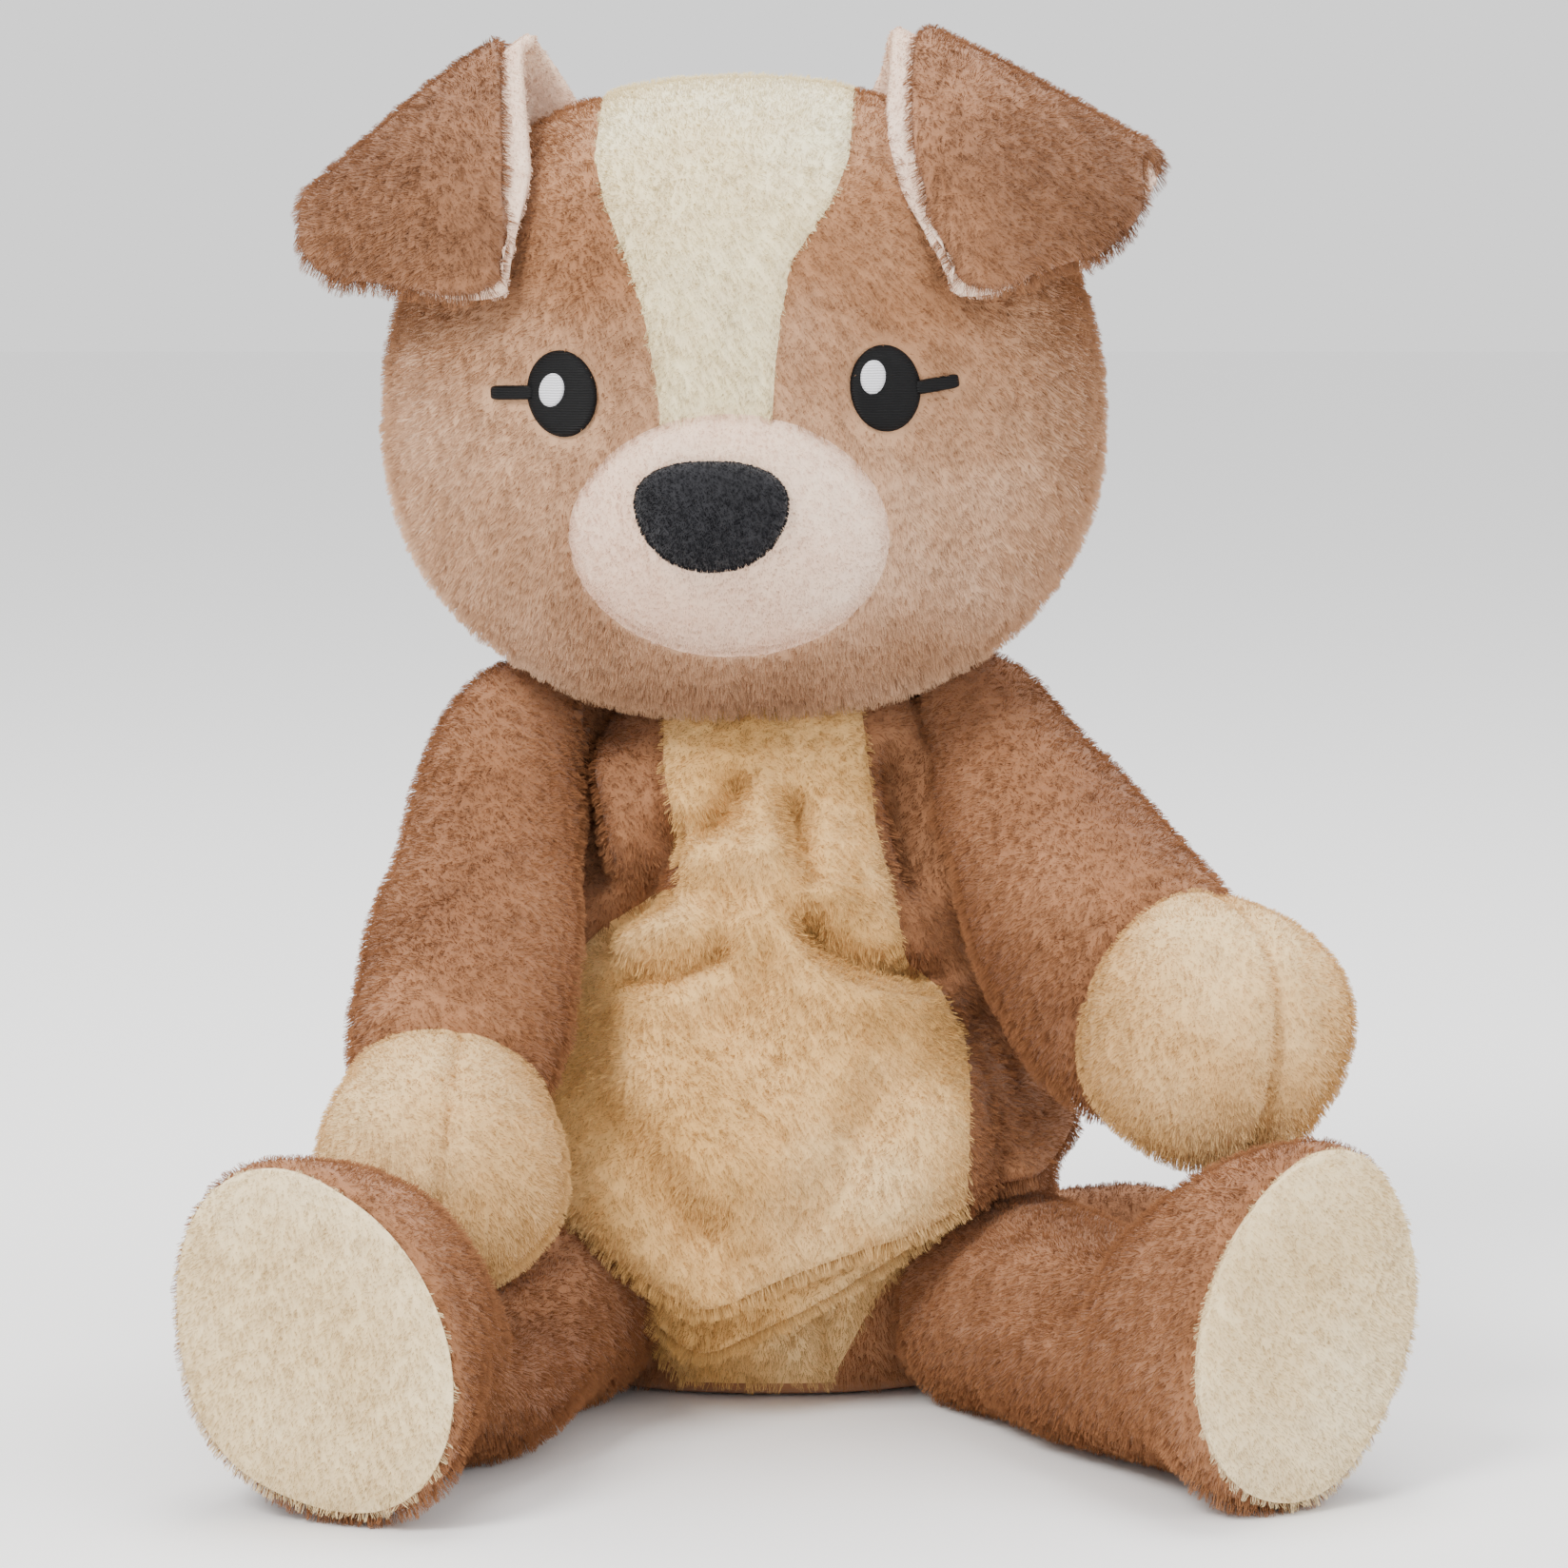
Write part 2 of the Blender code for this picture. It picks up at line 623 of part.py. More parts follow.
def build_arms():
    rings = [station(-56.5, 5, 161, 4, 5), station(-56.5, 2, 157, 8.5, 12)]
    rings += [station(-57, -3, 150, 10.5, 16.5), station(-58.5, -14, 139, 14.5, 18.5)]
    rings += [station(-60.5, -32, 125, 19.5, 19.5), station(-64, -53, 107, 22.5, 21)]
    wrist = len(rings)
    rings += [station(-66.5, -73, 89, 24, 23), station(-67, -83, 79, 27.5, 26.5)]
    rings += [station(-67.5, -92, 70, 27.5, 26), station(-67.5, -101, 61.5, 22, 20)]
    rings += [station(-67.5, -106, 56, 13, 12), station(-67.5, -108, 54, 4, 4)]
    arm("right", rings, wrist, SHOULDER_RIGHT)

    rings = [station(56, 5, 162, 4, 5), station(56, 2, 158, 8.5, 12)]
    rings += [station(56.5, -3, 151, 11, 17), station(58.5, -14, 143, 15.5, 19)]
    rings += [station(63, -29, 133, 19.5, 20.5), station(71, -48, 119, 22.5, 22.5)]
    wrist = len(rings)
    rings += [station(82, -66, 106, 25, 25), station(91, -80, 99, 29.5, 29)]
    rings += [station(100, -94, 93, 29, 28.5), station(108, -105, 88, 23.5, 23)]
    rings += [station(112.5, -111, 85.2, 14, 13.5), station(114.5, -113.6, 84, 4, 4)]
    arm("left", rings, wrist, SHOULDER_LEFT)


def build_legs():
    x, y = HIP_RIGHT
    middle = THIGH_HEIGHT
    thigh = [station(x + 8.5, y + 22, middle, 9, 9), station(x + 6.2, y + 16, middle, 18, 18)]
    thigh += [station(x + 2.9, y + 7.5, middle, 24, 24), station(x, y, middle, 25.5, 25.5)]
    shin = [resting(x - 9, y - 23, 26, 23.5), resting(x - 18, y - 47, 27, 18.5)]
    shin += [resting(x - 25, y - 65, 28, 17, -10), resting(x - 31.5, y - 80, 29, 20, -20)]
    foot = [resting(x - 35.5, y - 90, 29, 27, -27), resting(x - 38.5, y - 98, 29, 35, -32)]
    foot += [resting(x - 41, y - 105, 29, 38.5, -34), resting(x - 45, y - 115, 28, 39.5, -35)]
    leg("right", thigh + shin + foot, HIP_RIGHT)

    x, y = HIP_LEFT
    thigh = [station(x - 11.4, y + 20.6, middle, 9, 9), station(x - 8.2, y + 14.9, middle, 18, 18)]
    thigh += [station(x - 3.9, y + 7, middle, 24, 24), station(x, y, middle, 25.5, 25.5)]
    shin = [resting(x + 12, y - 22, 26, 24.5), resting(x + 24, y - 44, 27, 23)]
    shin += [resting(x + 31.5, y - 57, 27, 23.5, 6), resting(x + 38.5, y - 70, 28, 26, 12)]
    foot = [resting(x + 46, y - 81, 28, 33, 18), resting(x + 53, y - 89, 27, 38, 25)]
    foot += [resting(x + 64, y - 99, 26, 39, 28)]
    leg("left", thigh + shin + foot, HIP_LEFT)


def main():
    torso()
    build_head(neck())
    build_arms()
    build_legs()
    tail()


clear_scene()
DOG = new_collection("plush_dog")
CUTTERS = new_collection("cutters")
main()
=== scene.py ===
"""Looks of the seated plush dog: pile cloth, seams, folds and embroidery.

Lengths are millimetres in this script and turn into metres when a mesh is made.
The dog sits on z = 0 and faces -Y; +X is the dog's own left side.
"""

import math

import bmesh
import bpy
import numpy as np
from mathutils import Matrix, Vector
from mathutils.bvhtree import BVHTree


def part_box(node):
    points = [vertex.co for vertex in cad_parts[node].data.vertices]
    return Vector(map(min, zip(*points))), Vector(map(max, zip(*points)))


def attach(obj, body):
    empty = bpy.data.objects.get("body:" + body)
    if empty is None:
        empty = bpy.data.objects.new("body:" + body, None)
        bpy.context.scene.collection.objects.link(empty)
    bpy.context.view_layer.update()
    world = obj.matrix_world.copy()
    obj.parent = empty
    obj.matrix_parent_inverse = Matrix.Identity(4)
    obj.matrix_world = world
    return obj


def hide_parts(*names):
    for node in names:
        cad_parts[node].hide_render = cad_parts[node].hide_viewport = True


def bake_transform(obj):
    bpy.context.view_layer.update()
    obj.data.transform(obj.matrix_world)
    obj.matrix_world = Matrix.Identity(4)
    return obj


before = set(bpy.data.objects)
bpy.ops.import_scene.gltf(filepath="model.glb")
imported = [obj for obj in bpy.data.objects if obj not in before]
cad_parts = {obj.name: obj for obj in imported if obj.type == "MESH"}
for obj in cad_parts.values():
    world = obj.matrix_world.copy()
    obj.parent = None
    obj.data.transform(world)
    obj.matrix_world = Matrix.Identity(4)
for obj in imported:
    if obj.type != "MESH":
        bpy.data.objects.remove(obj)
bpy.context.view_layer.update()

MM = 0.001
PILE = 2.2                        # length of the pile, root to tip
PILE_STAND = 1.4                  # how far the pile carries the outline out
RNG_SEED = 7
FAR = 99.0                        # a signed distance that never reaches a seam
HEAD_MIDDLE_Z, HEAD_HALF_TALL = 228.5, 73.0
TORSO_X, TORSO_Y = 3, 8           # upright middle line of the body


# ---------------------------------------------------------------- places read from the frame
def span(*nodes):
    """Lowest and highest corner of some nodes, in millimetres."""
    boxes = [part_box(node) for node in nodes]
    low = np.min([np.array(b[0]) for b in boxes], axis=0)
    high = np.max([np.array(b[1]) for b in boxes], axis=0)
    return low / MM, high / MM


HEAD_LOW, HEAD_HIGH = span("head_side_left", "head_side_right", "head_back_left",
                           "head_back_right", "forehead_blaze")
HEAD_MID = np.append((HEAD_LOW[:2] + HEAD_HIGH[:2]) / 2, HEAD_MIDDLE_Z)
HEAD_HALF = np.append((HEAD_HIGH[:2] - HEAD_LOW[:2]) / 2, HEAD_HALF_TALL)
MUZZLE_LOW, MUZZLE_HIGH = span("muzzle")
MUZZLE_MID = (MUZZLE_LOW + MUZZLE_HIGH) / 2
MUZZLE_HALF = (MUZZLE_HIGH - MUZZLE_LOW) / 2


# ---------------------------------------------------------------- camera, floor and light
def look_at(obj, place, target):
    obj.location = Vector(place)
    obj.rotation_euler = (Vector(target) - Vector(place)).to_track_quat("-Z", "Y").to_euler()


def add_camera():
    """A short telephoto, a little above the toy, level across."""
    target = Vector((0.0053, 0, 0.1375))
    distance = 1.35
    rise = math.radians(6.5)
    data = bpy.data.cameras.new("camera")
    data.lens = 134.0
    data.sensor_width = 36
    camera = bpy.data.objects.new("camera", data)
    bpy.context.collection.objects.link(camera)
    offset = Vector((0, -math.cos(rise), math.sin(rise))) * distance
    look_at(camera, target + offset, target)
    bpy.context.scene.camera = camera


def add_light(name, place, size, power, colour=(1, 1, 1)):
    data = bpy.data.lights.new(name, "AREA")
    data.shape = "DISK"
    data.size = size
    data.energy = power
    data.color = colour
    light = bpy.data.objects.new(name, data)
    bpy.context.collection.objects.link(light)
    look_at(light, place, (0, 0, 0.15))


def add_studio():
    world = bpy.data.worlds.new("studio")
    world.use_nodes = True
    back = world.node_tree.nodes["Background"]
    back.inputs["Color"].default_value = (1, 1, 1, 1)
    back.inputs["Strength"].default_value = 1.3
    bpy.context.scene.world = world
    bpy.ops.mesh.primitive_plane_add(size=12)
    floor = bpy.context.object
    floor.name = "floor"
    mat, _, _, shader = new_material("floor_paper")
    shader.inputs["Base Color"].default_value = (0.93, 0.93, 0.93, 1)
    shader.inputs["Roughness"].default_value = 0.9
    floor.data.materials.append(mat)
    add_light("key", (-0.9, -1.3, 1.5), 0.7, 44, (1, 0.98, 0.95))
    add_light("fill", (1.4, -1.2, 0.8), 1.4, 13, (0.97, 0.985, 1))
    add_light("top", (0.1, 0.3, 1.7), 0.9, 24)


# ---------------------------------------------------------------- materials
def new_material(name):
    mat = bpy.data.materials.new(name)
    mat.use_nodes = True
    tree = mat.node_tree
    return mat, tree.nodes, tree.links, tree.nodes["Principled BSDF"]


def noise(nodes, links, coords, scale, detail=3.0, rough=0.6):
    node = nodes.new("ShaderNodeTexNoise")
    node.inputs["Scale"].default_value = scale
    node.inputs["Detail"].default_value = detail
    node.inputs["Roughness"].default_value = rough
    links.new(coords, node.inputs["Vector"])
    return node.outputs["Fac"]


def ramp(nodes, links, fac, stops):
    node = nodes.new("ShaderNodeValToRGB")
    band = node.color_ramp
    while len(band.elements) < len(stops):
        band.elements.new(0.5)
    for element, (place, colour) in zip(band.elements, stops):
        element.position = place
        element.color = (*colour, 1)
    links.new(fac, node.inputs["Fac"])
    return node.outputs["Color"]


def mix_colour(nodes, links, fac, a, b, blend="MIX"):
    node = nodes.new("ShaderNodeMix")
    node.data_type = "RGBA"
    node.blend_type = blend
    for socket, value in ((node.inputs[0], fac), (node.inputs[6], a), (node.inputs[7], b)):
        if isinstance(value, (int, float)):
            socket.default_value = value
        elif isinstance(value, tuple):
            socket.default_value = (*value, 1)
        else:
            links.new(value, socket)
    return node.outputs[2]


def tone(colour, factor):
    return tuple(min(c * factor, 1) for c in colour)


def crown_shade(nodes, links, where, colour):
    """The head is painted a deeper brown towards the top: the brow is darker than the paler cheeks."""
    split = nodes.new("ShaderNodeSeparateXYZ")
    links.new(where, split.inputs["Vector"])
    drift = noise(nodes, links, where, 22, 2.0)
    height = nodes.new("ShaderNodeMath")
    height.operation = "MULTIPLY_ADD"
    links.new(drift, height.inputs[0])
    height.inputs[1].default_value = 0.05
    links.new(split.outputs["Z"], height.inputs[2])
    shade = ramp(nodes, links, height.outputs["Value"], ((0.24, (1, 1, 1)), (0.282, (0.62, 0.48, 0.37))))
    return mix_colour(nodes, links, 1.0, colour, shade, "MULTIPLY")


def pile_tint(nodes, links, dark, mid, light, browed):
    """Brushed pile: soft patches where it leans to and from the light, and fine mottling."""
    where = nodes.new("ShaderNodeTexCoord").outputs["Object"]
    broad = noise(nodes, links, where, 17, 2.5)
    fine = noise(nodes, links, where, 160, 4.0, 0.7)
    base = ramp(nodes, links, broad, ((0.32, dark), (0.5, mid), (0.70, light)))
    speck = ramp(nodes, links, fine, ((0.30, tone(mid, 0.78)), (0.66, tone(mid, 1.16))))
    tint = mix_colour(nodes, links, 0.38, base, speck)
    return crown_shade(nodes, links, where, tint) if browed else tint


def pile_cloth(name, dark, mid, light, browed):
    """The cloth under the pile, and the whole look where no hair is drawn."""
    mat, nodes, links, shader = new_material(name)
    where = nodes.new("ShaderNodeTexCoord").outputs["Object"]
    links.new(pile_tint(nodes, links, dark, mid, light, browed), shader.inputs["Base Color"])
    shader.inputs["Roughness"].default_value = 0.95
    shader.inputs["Sheen Weight"].default_value = 0.12
    shader.inputs["Sheen Roughness"].default_value = 0.4
    tufts = noise(nodes, links, where, 420, 5.0, 0.75)
    relief = nodes.new("ShaderNodeBump")
    relief.inputs["Strength"].default_value = 0.9
    relief.inputs["Distance"].default_value = 0.0012
    links.new(tufts, relief.inputs["Height"])
    links.new(relief.outputs["Normal"], shader.inputs["Normal"])
    return mat


def pile_fibre(name, dark, mid, light, browed):
    """The fibres: darker at the root, paler at the tip, with a soft lustre."""
    mat, nodes, links, shader = new_material(name)
    colour = pile_tint(nodes, links, dark, mid, light, browed)
    hair = nodes.new("ShaderNodeHairInfo")
    along = ramp(nodes, links, hair.outputs["Intercept"], ((0.0, (0.55, 0.5, 0.47)), (0.9, (1, 1, 1))))
    each = ramp(nodes, links, hair.outputs["Random"], ((0.0, (0.86, 0.86, 0.86)), (1.0, (1, 1, 1))))
    colour = mix_colour(nodes, links, 1.0, colour, along, "MULTIPLY")
    colour = mix_colour(nodes, links, 1.0, colour, each, "MULTIPLY")
    links.new(colour, shader.inputs["Base Color"])
    shader.inputs["Roughness"].default_value = 0.55
    shader.inputs["Specular IOR Level"].default_value = 0.12
    return mat


# Linear colours where the pile leans away, lies flat and faces the light.
CLOTHS = {
    "brown": ((0.38, 0.19, 0.095), (0.62, 0.375, 0.22), (0.82, 0.57, 0.39)),
    "limb": ((0.19, 0.07, 0.027), (0.325, 0.141, 0.060), (0.51, 0.25, 0.122)),
    "ear": ((0.17, 0.07, 0.03), (0.30, 0.135, 0.062), (0.46, 0.235, 0.125)),
    "cream": ((0.86, 0.68, 0.38), (0.96, 0.81, 0.50), (0.98, 0.91, 0.67)),
    "golden": ((0.60, 0.31, 0.075), (0.85, 0.53, 0.20), (0.97, 0.74, 0.40)),
    "paw": ((0.50, 0.29, 0.10), (0.73, 0.45, 0.18), (0.94, 0.70, 0.37)),
    "sole": ((0.74, 0.52, 0.25), (0.91, 0.71, 0.41), (0.98, 0.87, 0.61)),
    "pink": ((0.86, 0.55, 0.40), (0.95, 0.655, 0.485), (0.98, 0.77, 0.62)),
    "lining": ((0.84, 0.54, 0.39), (0.93, 0.66, 0.50), (0.98, 0.78, 0.64)),
    "black": ((0.008, 0.008, 0.010), (0.012, 0.012, 0.015), (0.024, 0.024, 0.03)),
}


MATERIALS = {}


def cloth_materials(kind):
    """Cloth and fibre materials of one kind of pile, made once."""
    if kind not in MATERIALS:
        browed = kind == "brown"
        MATERIALS[kind] = (pile_cloth(f"{kind}_cloth", *CLOTHS[kind], browed),
                           pile_fibre(f"{kind}_fibre", *CLOTHS[kind], browed))
    return MATERIALS[kind]


# ---------------------------------------------------------------- meshes from number arrays
def smooth_step(value, low, high):
    t = np.clip((value - low) / (high - low), 0, 1)
    return t * t * (3 - 2 * t)


def make_mesh(name, points, faces):
    """points in millimetres, faces an integer array of quads or a list of tuples."""
    mesh = bpy.data.meshes.new(name)
    mesh.from_pydata((np.asarray(points) * MM).tolist(), [], [tuple(f) for f in faces])
    mesh.update()
    return mesh


def cube_sphere(steps):
    """Unit directions and quads of a cube blown up to a ball, with shared edges."""
    index, points, faces = {}, [], []

    def corner(key):
        if key not in index:
            index[key] = len(points)
            across = [math.tan((k / steps - 0.5) * math.pi / 2) for k in key]
            points.append(across)
        return index[key]

    for axis in range(3):
        for side in (0, steps):
            for i in range(steps):
                for j in range(steps):
                    loop = [(i, j), (i + 1, j), (i + 1, j + 1), (i, j + 1)]
                    if (side == 0) != (axis == 1):
                        loop.reverse()
                    keys = [list(pair) for pair in loop]
                    for key in keys:
                        key.insert(axis, side)
                    faces.append([corner(tuple(key)) for key in keys])
    points = np.array(points)
    return points / np.linalg.norm(points, axis=1)[:, None], faces


def tube_grid(stations, sides, steps):
    """Smooth chain of oval rings.  A station is (x, y, z, half wide, half high, roll in degrees)."""
    knots = np.array(stations, float)
    count = len(knots)
    rows = np.array([catmull_rom(knots, value) for value in np.linspace(0, count - 1, steps)])
    spine = rows[:, :3]
    forward = np.gradient(spine, axis=0)
    forward /= np.linalg.norm(forward, axis=1)[:, None]
    across = np.cross(forward, (0, 0, 1))
    across /= np.maximum(np.linalg.norm(across, axis=1)[:, None], 1e-6)
    upward = np.cross(across, forward)
    angle = np.arange(sides) * 2 * math.pi / sides
    points = []
    for k in range(steps):
        wide, high, roll = rows[k, 3], rows[k, 4], math.radians(rows[k, 5])
        u, v = wide * np.cos(angle), high * np.sin(angle)
        side = u * math.cos(roll) - v * math.sin(roll)
        rise = u * math.sin(roll) + v * math.cos(roll)
        points.append(spine[k] + side[:, None] * across[k] + rise[:, None] * upward[k])
    return np.concatenate(points), ring_faces(sides, steps)


def ring_faces(sides, rings):
    """Quads between stacked rings of points, with a lid at each end."""
    faces = []
    for k in range(rings - 1):
        for s in range(sides):
            a, b = k * sides + s, k * sides + (s + 1) % sides
            faces.append((a, b, b + sides, a + sides))
    faces.append(tuple(range(sides))[::-1])
    last = (rings - 1) * sides
    faces.append(tuple(range(last, last + sides)))
    return faces


def catmull_rom(knots, value):
    """A smooth curve through the knots, at a place from 0 to the last knot's number."""
    count = len(knots)
    i = int(min(value, count - 1.000001))
    t = value - i
    p0, p1 = knots[max(i - 1, 0)], knots[i]
    p2, p3 = knots[i + 1], knots[min(i + 2, count - 1)]
    m1, m2 = (p2 - p0) / 2, (p3 - p1) / 2
    a, b = 2 * t**3 - 3 * t**2 + 1, t**3 - 2 * t**2 + t
    return a * p1 + b * m1 + (3 * t**2 - 2 * t**3) * p2 + (t**3 - t**2) * m2


# ---------------------------------------------------------------- pieces of cloth
def cut_seams(points, faces, seams):
    """A bmesh whose edges run along every seam; a seam maps points to signed distance."""
    work = bmesh.new()
    verts = [work.verts.new(p) for p in points * MM]
    for face in faces:
        work.faces.new([verts[i] for i in face])
    bmesh.ops.recalc_face_normals(work, faces=work.faces)
    for seam in seams:
        split_along(work, seam)
    return work


def split_along(work, signed):
    """Cut the faces of a bmesh where a signed distance changes sign."""
    work.verts.index_update()
    places = np.array([v.co for v in work.verts]) / MM
    values = dict(zip(work.verts, signed(places)))
    for edge in list(work.edges):
        a, b = edge.verts
        if values[a] * values[b] >= 0:
            continue
        share = values[a] / (values[a] - values[b])
        if share < 0.15:
            values[a] = 0.0
        elif share > 0.85:
            values[b] = 0.0
        else:
            _, vert = bmesh.utils.edge_split(edge, a, share)
            values[vert] = 0.0
    for face in list(work.faces):
        zeros = [v for v in face.verts if values[v] == 0.0]
        sides = {values[v] > 0 for v in face.verts if values[v] != 0.0}
        if len(zeros) == 2 and len(sides) == 2:
            if not any(zeros[1] in edge.verts for edge in zeros[0].link_edges):
                bmesh.utils.face_split(face, zeros[0], zeros[1])


def take_panel(work, name, chooser):
    """A mesh of the faces whose centre the chooser accepts, split off a whole form."""
    part = work.copy()
    part.faces.ensure_lookup_table()
    centres = np.array([f.calc_center_median() for f in part.faces]) / MM
    keep = chooser(centres)
    gone = [face for face, kept in zip(part.faces, keep) if not kept]
    bmesh.ops.delete(part, geom=gone, context="FACES")
    mesh = bpy.data.meshes.new(name)
    part.to_mesh(mesh)
    part.free()
    return mesh


def everything(centres):
    return np.ones(len(centres), bool)


def vertex_normals(points, faces):
    """Unit normals of a grid of quads, in numbers."""
    quads = np.array([f for f in faces if len(f) == 4])
    across = points[quads[:, 2]] - points[quads[:, 0]]
    up = points[quads[:, 3]] - points[quads[:, 1]]
    normal = np.cross(across, up)
    total = np.zeros_like(points)
    for k in range(4):
        np.add.at(total, quads[:, k], normal)
    return total / np.maximum(np.linalg.norm(total, axis=1)[:, None], 1e-9)


def polyline_distance(flat, line):
    """Distance of points (N x 2) to a polyline, and how far along it (0 to 1) they lie."""
    line = np.array(line, float)
    best = np.full(len(flat), 1e9)
    share = np.zeros(len(flat))
    pieces = len(line) - 1
    for k in range(pieces):
        a, b = line[k], line[k + 1]
        t = np.clip(((flat - a) @ (b - a)) / ((b - a) @ (b - a)), 0, 1)
        gap = np.linalg.norm(flat - (a + t[:, None] * (b - a)), axis=1)
        nearer = gap < best
        best[nearer] = gap[nearer]
        share[nearer] = (k + t[nearer]) / pieces
    return best, share


def fold(flat, line, height, width, taper=0.25):
    """Height of a rounded fold along a polyline, fading out towards its two ends."""
    gap, share = polyline_distance(flat, line)
    ends = smooth_step(share, 0, taper) * smooth_step(1 - share, 0, taper)
    return height * ends * np.exp(-(gap / width) ** 2)


def groove(distance, depth=1.3, width=1.5):
    """The dip that a seam pulls into stuffed cloth."""
    return -depth * np.exp(-(distance / width) ** 2)


def ripple(points, pitch, height, seed):
    """Slow random unevenness of stuffed cloth: a few crossed waves of fixed phase."""
    rng = np.random.default_rng(seed)
    total = np.zeros(len(points))
    for _ in range(9):
        way = rng.normal(size=3)
        way /= np.linalg.norm(way)
        wave = 2 * math.pi / (pitch * rng.uniform(0.7, 1.6))
        total += np.sin(points @ way * wave + rng.uniform(0, 2 * math.pi))
    return total * height / 3


def pile_settings(name, length):
    """Hair settings of one piece; lean and scatter keep their share of the length."""
    pile = bpy.data.particles.new(name)
    pile.type = "HAIR"
    pile.use_advanced_hair = True
    pile.hair_step = 3
    pile.render_step = 3
    pile.display_step = 3
    pile.object_align_factor = (0, 0, -0.14 * length * MM)
    pile.factor_random = 0.08 * length * MM
    pile.hair_length = length * MM
    pile.use_emit_random = True
    pile.emit_from = "FACE"
    pile.distribution = "RAND"
    pile.child_type = "INTERPOLATED"
    pile.rendered_child_count = 7
    pile.child_percent = 1
    pile.child_length = 1.0
    pile.child_length_threshold = 0.0
    pile.clump_factor = 0.35
    pile.clump_shape = 0.1
    pile.roughness_1 = 0.1 * length * MM
    pile.roughness_1_size = 0.004
    pile.roughness_2 = 0.2 * length * MM
    pile.roughness_endpoint = 0.14 * length * MM
    pile.root_radius = 0.13
    pile.tip_radius = 0.05
    pile.radius_scale = 0.001
    pile.shape = -0.3
    pile.material = 2
    return pile


def grow_pile(obj, kind, length=PILE, per_mm2=0.28):
    """Stand pile on a piece; per_mm2 counts the guide fibres."""
    area = sum(face.area for face in obj.data.polygons) / MM**2
    obj.data.materials.append(cloth_materials(kind)[1])
    mod = obj.modifiers.new("pile", "PARTICLE_SYSTEM")
    system = mod.particle_system
    system.settings = pile_settings(f"{obj.name}_pile", length)
    system.settings.count = max(int(area * per_mm2), 50)
    system.seed = RNG_SEED
    if "pile" in obj.vertex_groups:
        system.vertex_group_density = "pile"


def add_piece(name, mesh, kind, body, nodes=(), blends=(), pile=PILE,
              density=0.28, weight=None):
    """Make an object of a panel: material, pile, the body it rides on and what it stands for."""
    obj = bpy.data.objects.new(name, mesh)
    bpy.context.collection.objects.link(obj)
    if weight is not None:
        group = obj.vertex_groups.new(name="pile")
        for index, value in enumerate(weight):
            group.add([index], float(value), "REPLACE")
    mesh.materials.clear()
    mesh.materials.append(cloth_materials(kind)[0])
    mesh.shade_smooth()
    if pile:
        grow_pile(obj, kind, pile, density)
    if blends:
        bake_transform(obj)
    else:
        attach(obj, body)
    if nodes:
        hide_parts(*nodes)
    return obj


# ---------------------------------------------------------------- head
BLAZE_EDGE_Z = [205, 227, 237, 248, 260, 272, 282, 298, 320]
BLAZE_RIGHT_X = [-21.5, -21.5, -23, -25, -29, -34, -36.5, -35, -35]
BLAZE_LEFT_X = [2.8, 2.8, 3.4, 4.7, 7.0, 15.5, 19.6, 21, 21]
CROWN_Y = 8


def superellipsoid(way, half, power):
    """Points on a squarish ball in the given directions."""
    size = (np.abs(way) ** power).sum(axis=1) ** (-1 / power)
    return way * size[:, None] * half


def muzzle_share(points):
    """1 on the muzzle's seam, 0 at its middle; FAR behind the face."""
    across = (points[:, 0] - MUZZLE_MID[0]) / MUZZLE_HALF[0]
    rise = (points[:, 2] - MUZZLE_MID[2]) / MUZZLE_HALF[2]
    share = np.hypot(across, rise)
    return np.where(points[:, 1] < HEAD_MID[1], share, FAR)


def muzzle_seam(points):
    return (muzzle_share(points) - 1) * MUZZLE_HALF[2]


def blaze_seam(points):
    right = np.interp(points[:, 2], BLAZE_EDGE_Z, BLAZE_RIGHT_X)
    left = np.interp(points[:, 2], BLAZE_EDGE_Z, BLAZE_LEFT_X)
    outside = np.maximum(right - points[:, 0], points[:, 0] - left)
    return np.maximum(outside, MUZZLE_MID[2] - points[:, 2])


def crown_seam(points):
    return points[:, 1] - CROWN_Y


def middle_seam(points):
    return points[:, 0] - HEAD_MID[0]


def head_form():
    way, faces = cube_sphere(60)
    points = superellipsoid(way, HEAD_HALF - PILE_STAND, 2.15)
    points[:, 0] *= 1 - 0.055 * points[:, 2] / HEAD_HALF[2]
    points += HEAD_MID
    share = muzzle_share(points)
    dome = 9.5 * np.clip(1 - share**2, 0, 1) ** 0.8
    swell = 2.2 * np.exp(-((share - 1) / 0.3) ** 2) * (share < 5)
    points[:, 1] -= dome + swell
    points[:, 2] -= 0.1 * dome
    out = vertex_normals(points, faces)
    outward = np.sign((out * (points - HEAD_MID)).sum(axis=1))
    out *= outward[:, None]
    front = points[:, 1] < CROWN_Y
    sink = groove(muzzle_seam(points), 1.2, 1.6)
    off_muzzle = share > 1
    sink += groove(blaze_seam(points), 0.9, 1.4) * front * off_muzzle
    sink += groove(crown_seam(points), 0.9, 1.6)
    below = points[:, 2] < MUZZLE_MID[2]
    chin = front & below & off_muzzle
    sink += groove(middle_seam(points), 1.3, 1.7) * (chin | ~front)
    sink += ripple(points, 60, 0.7, 3) * off_muzzle
    return points + out * sink[:, None], faces


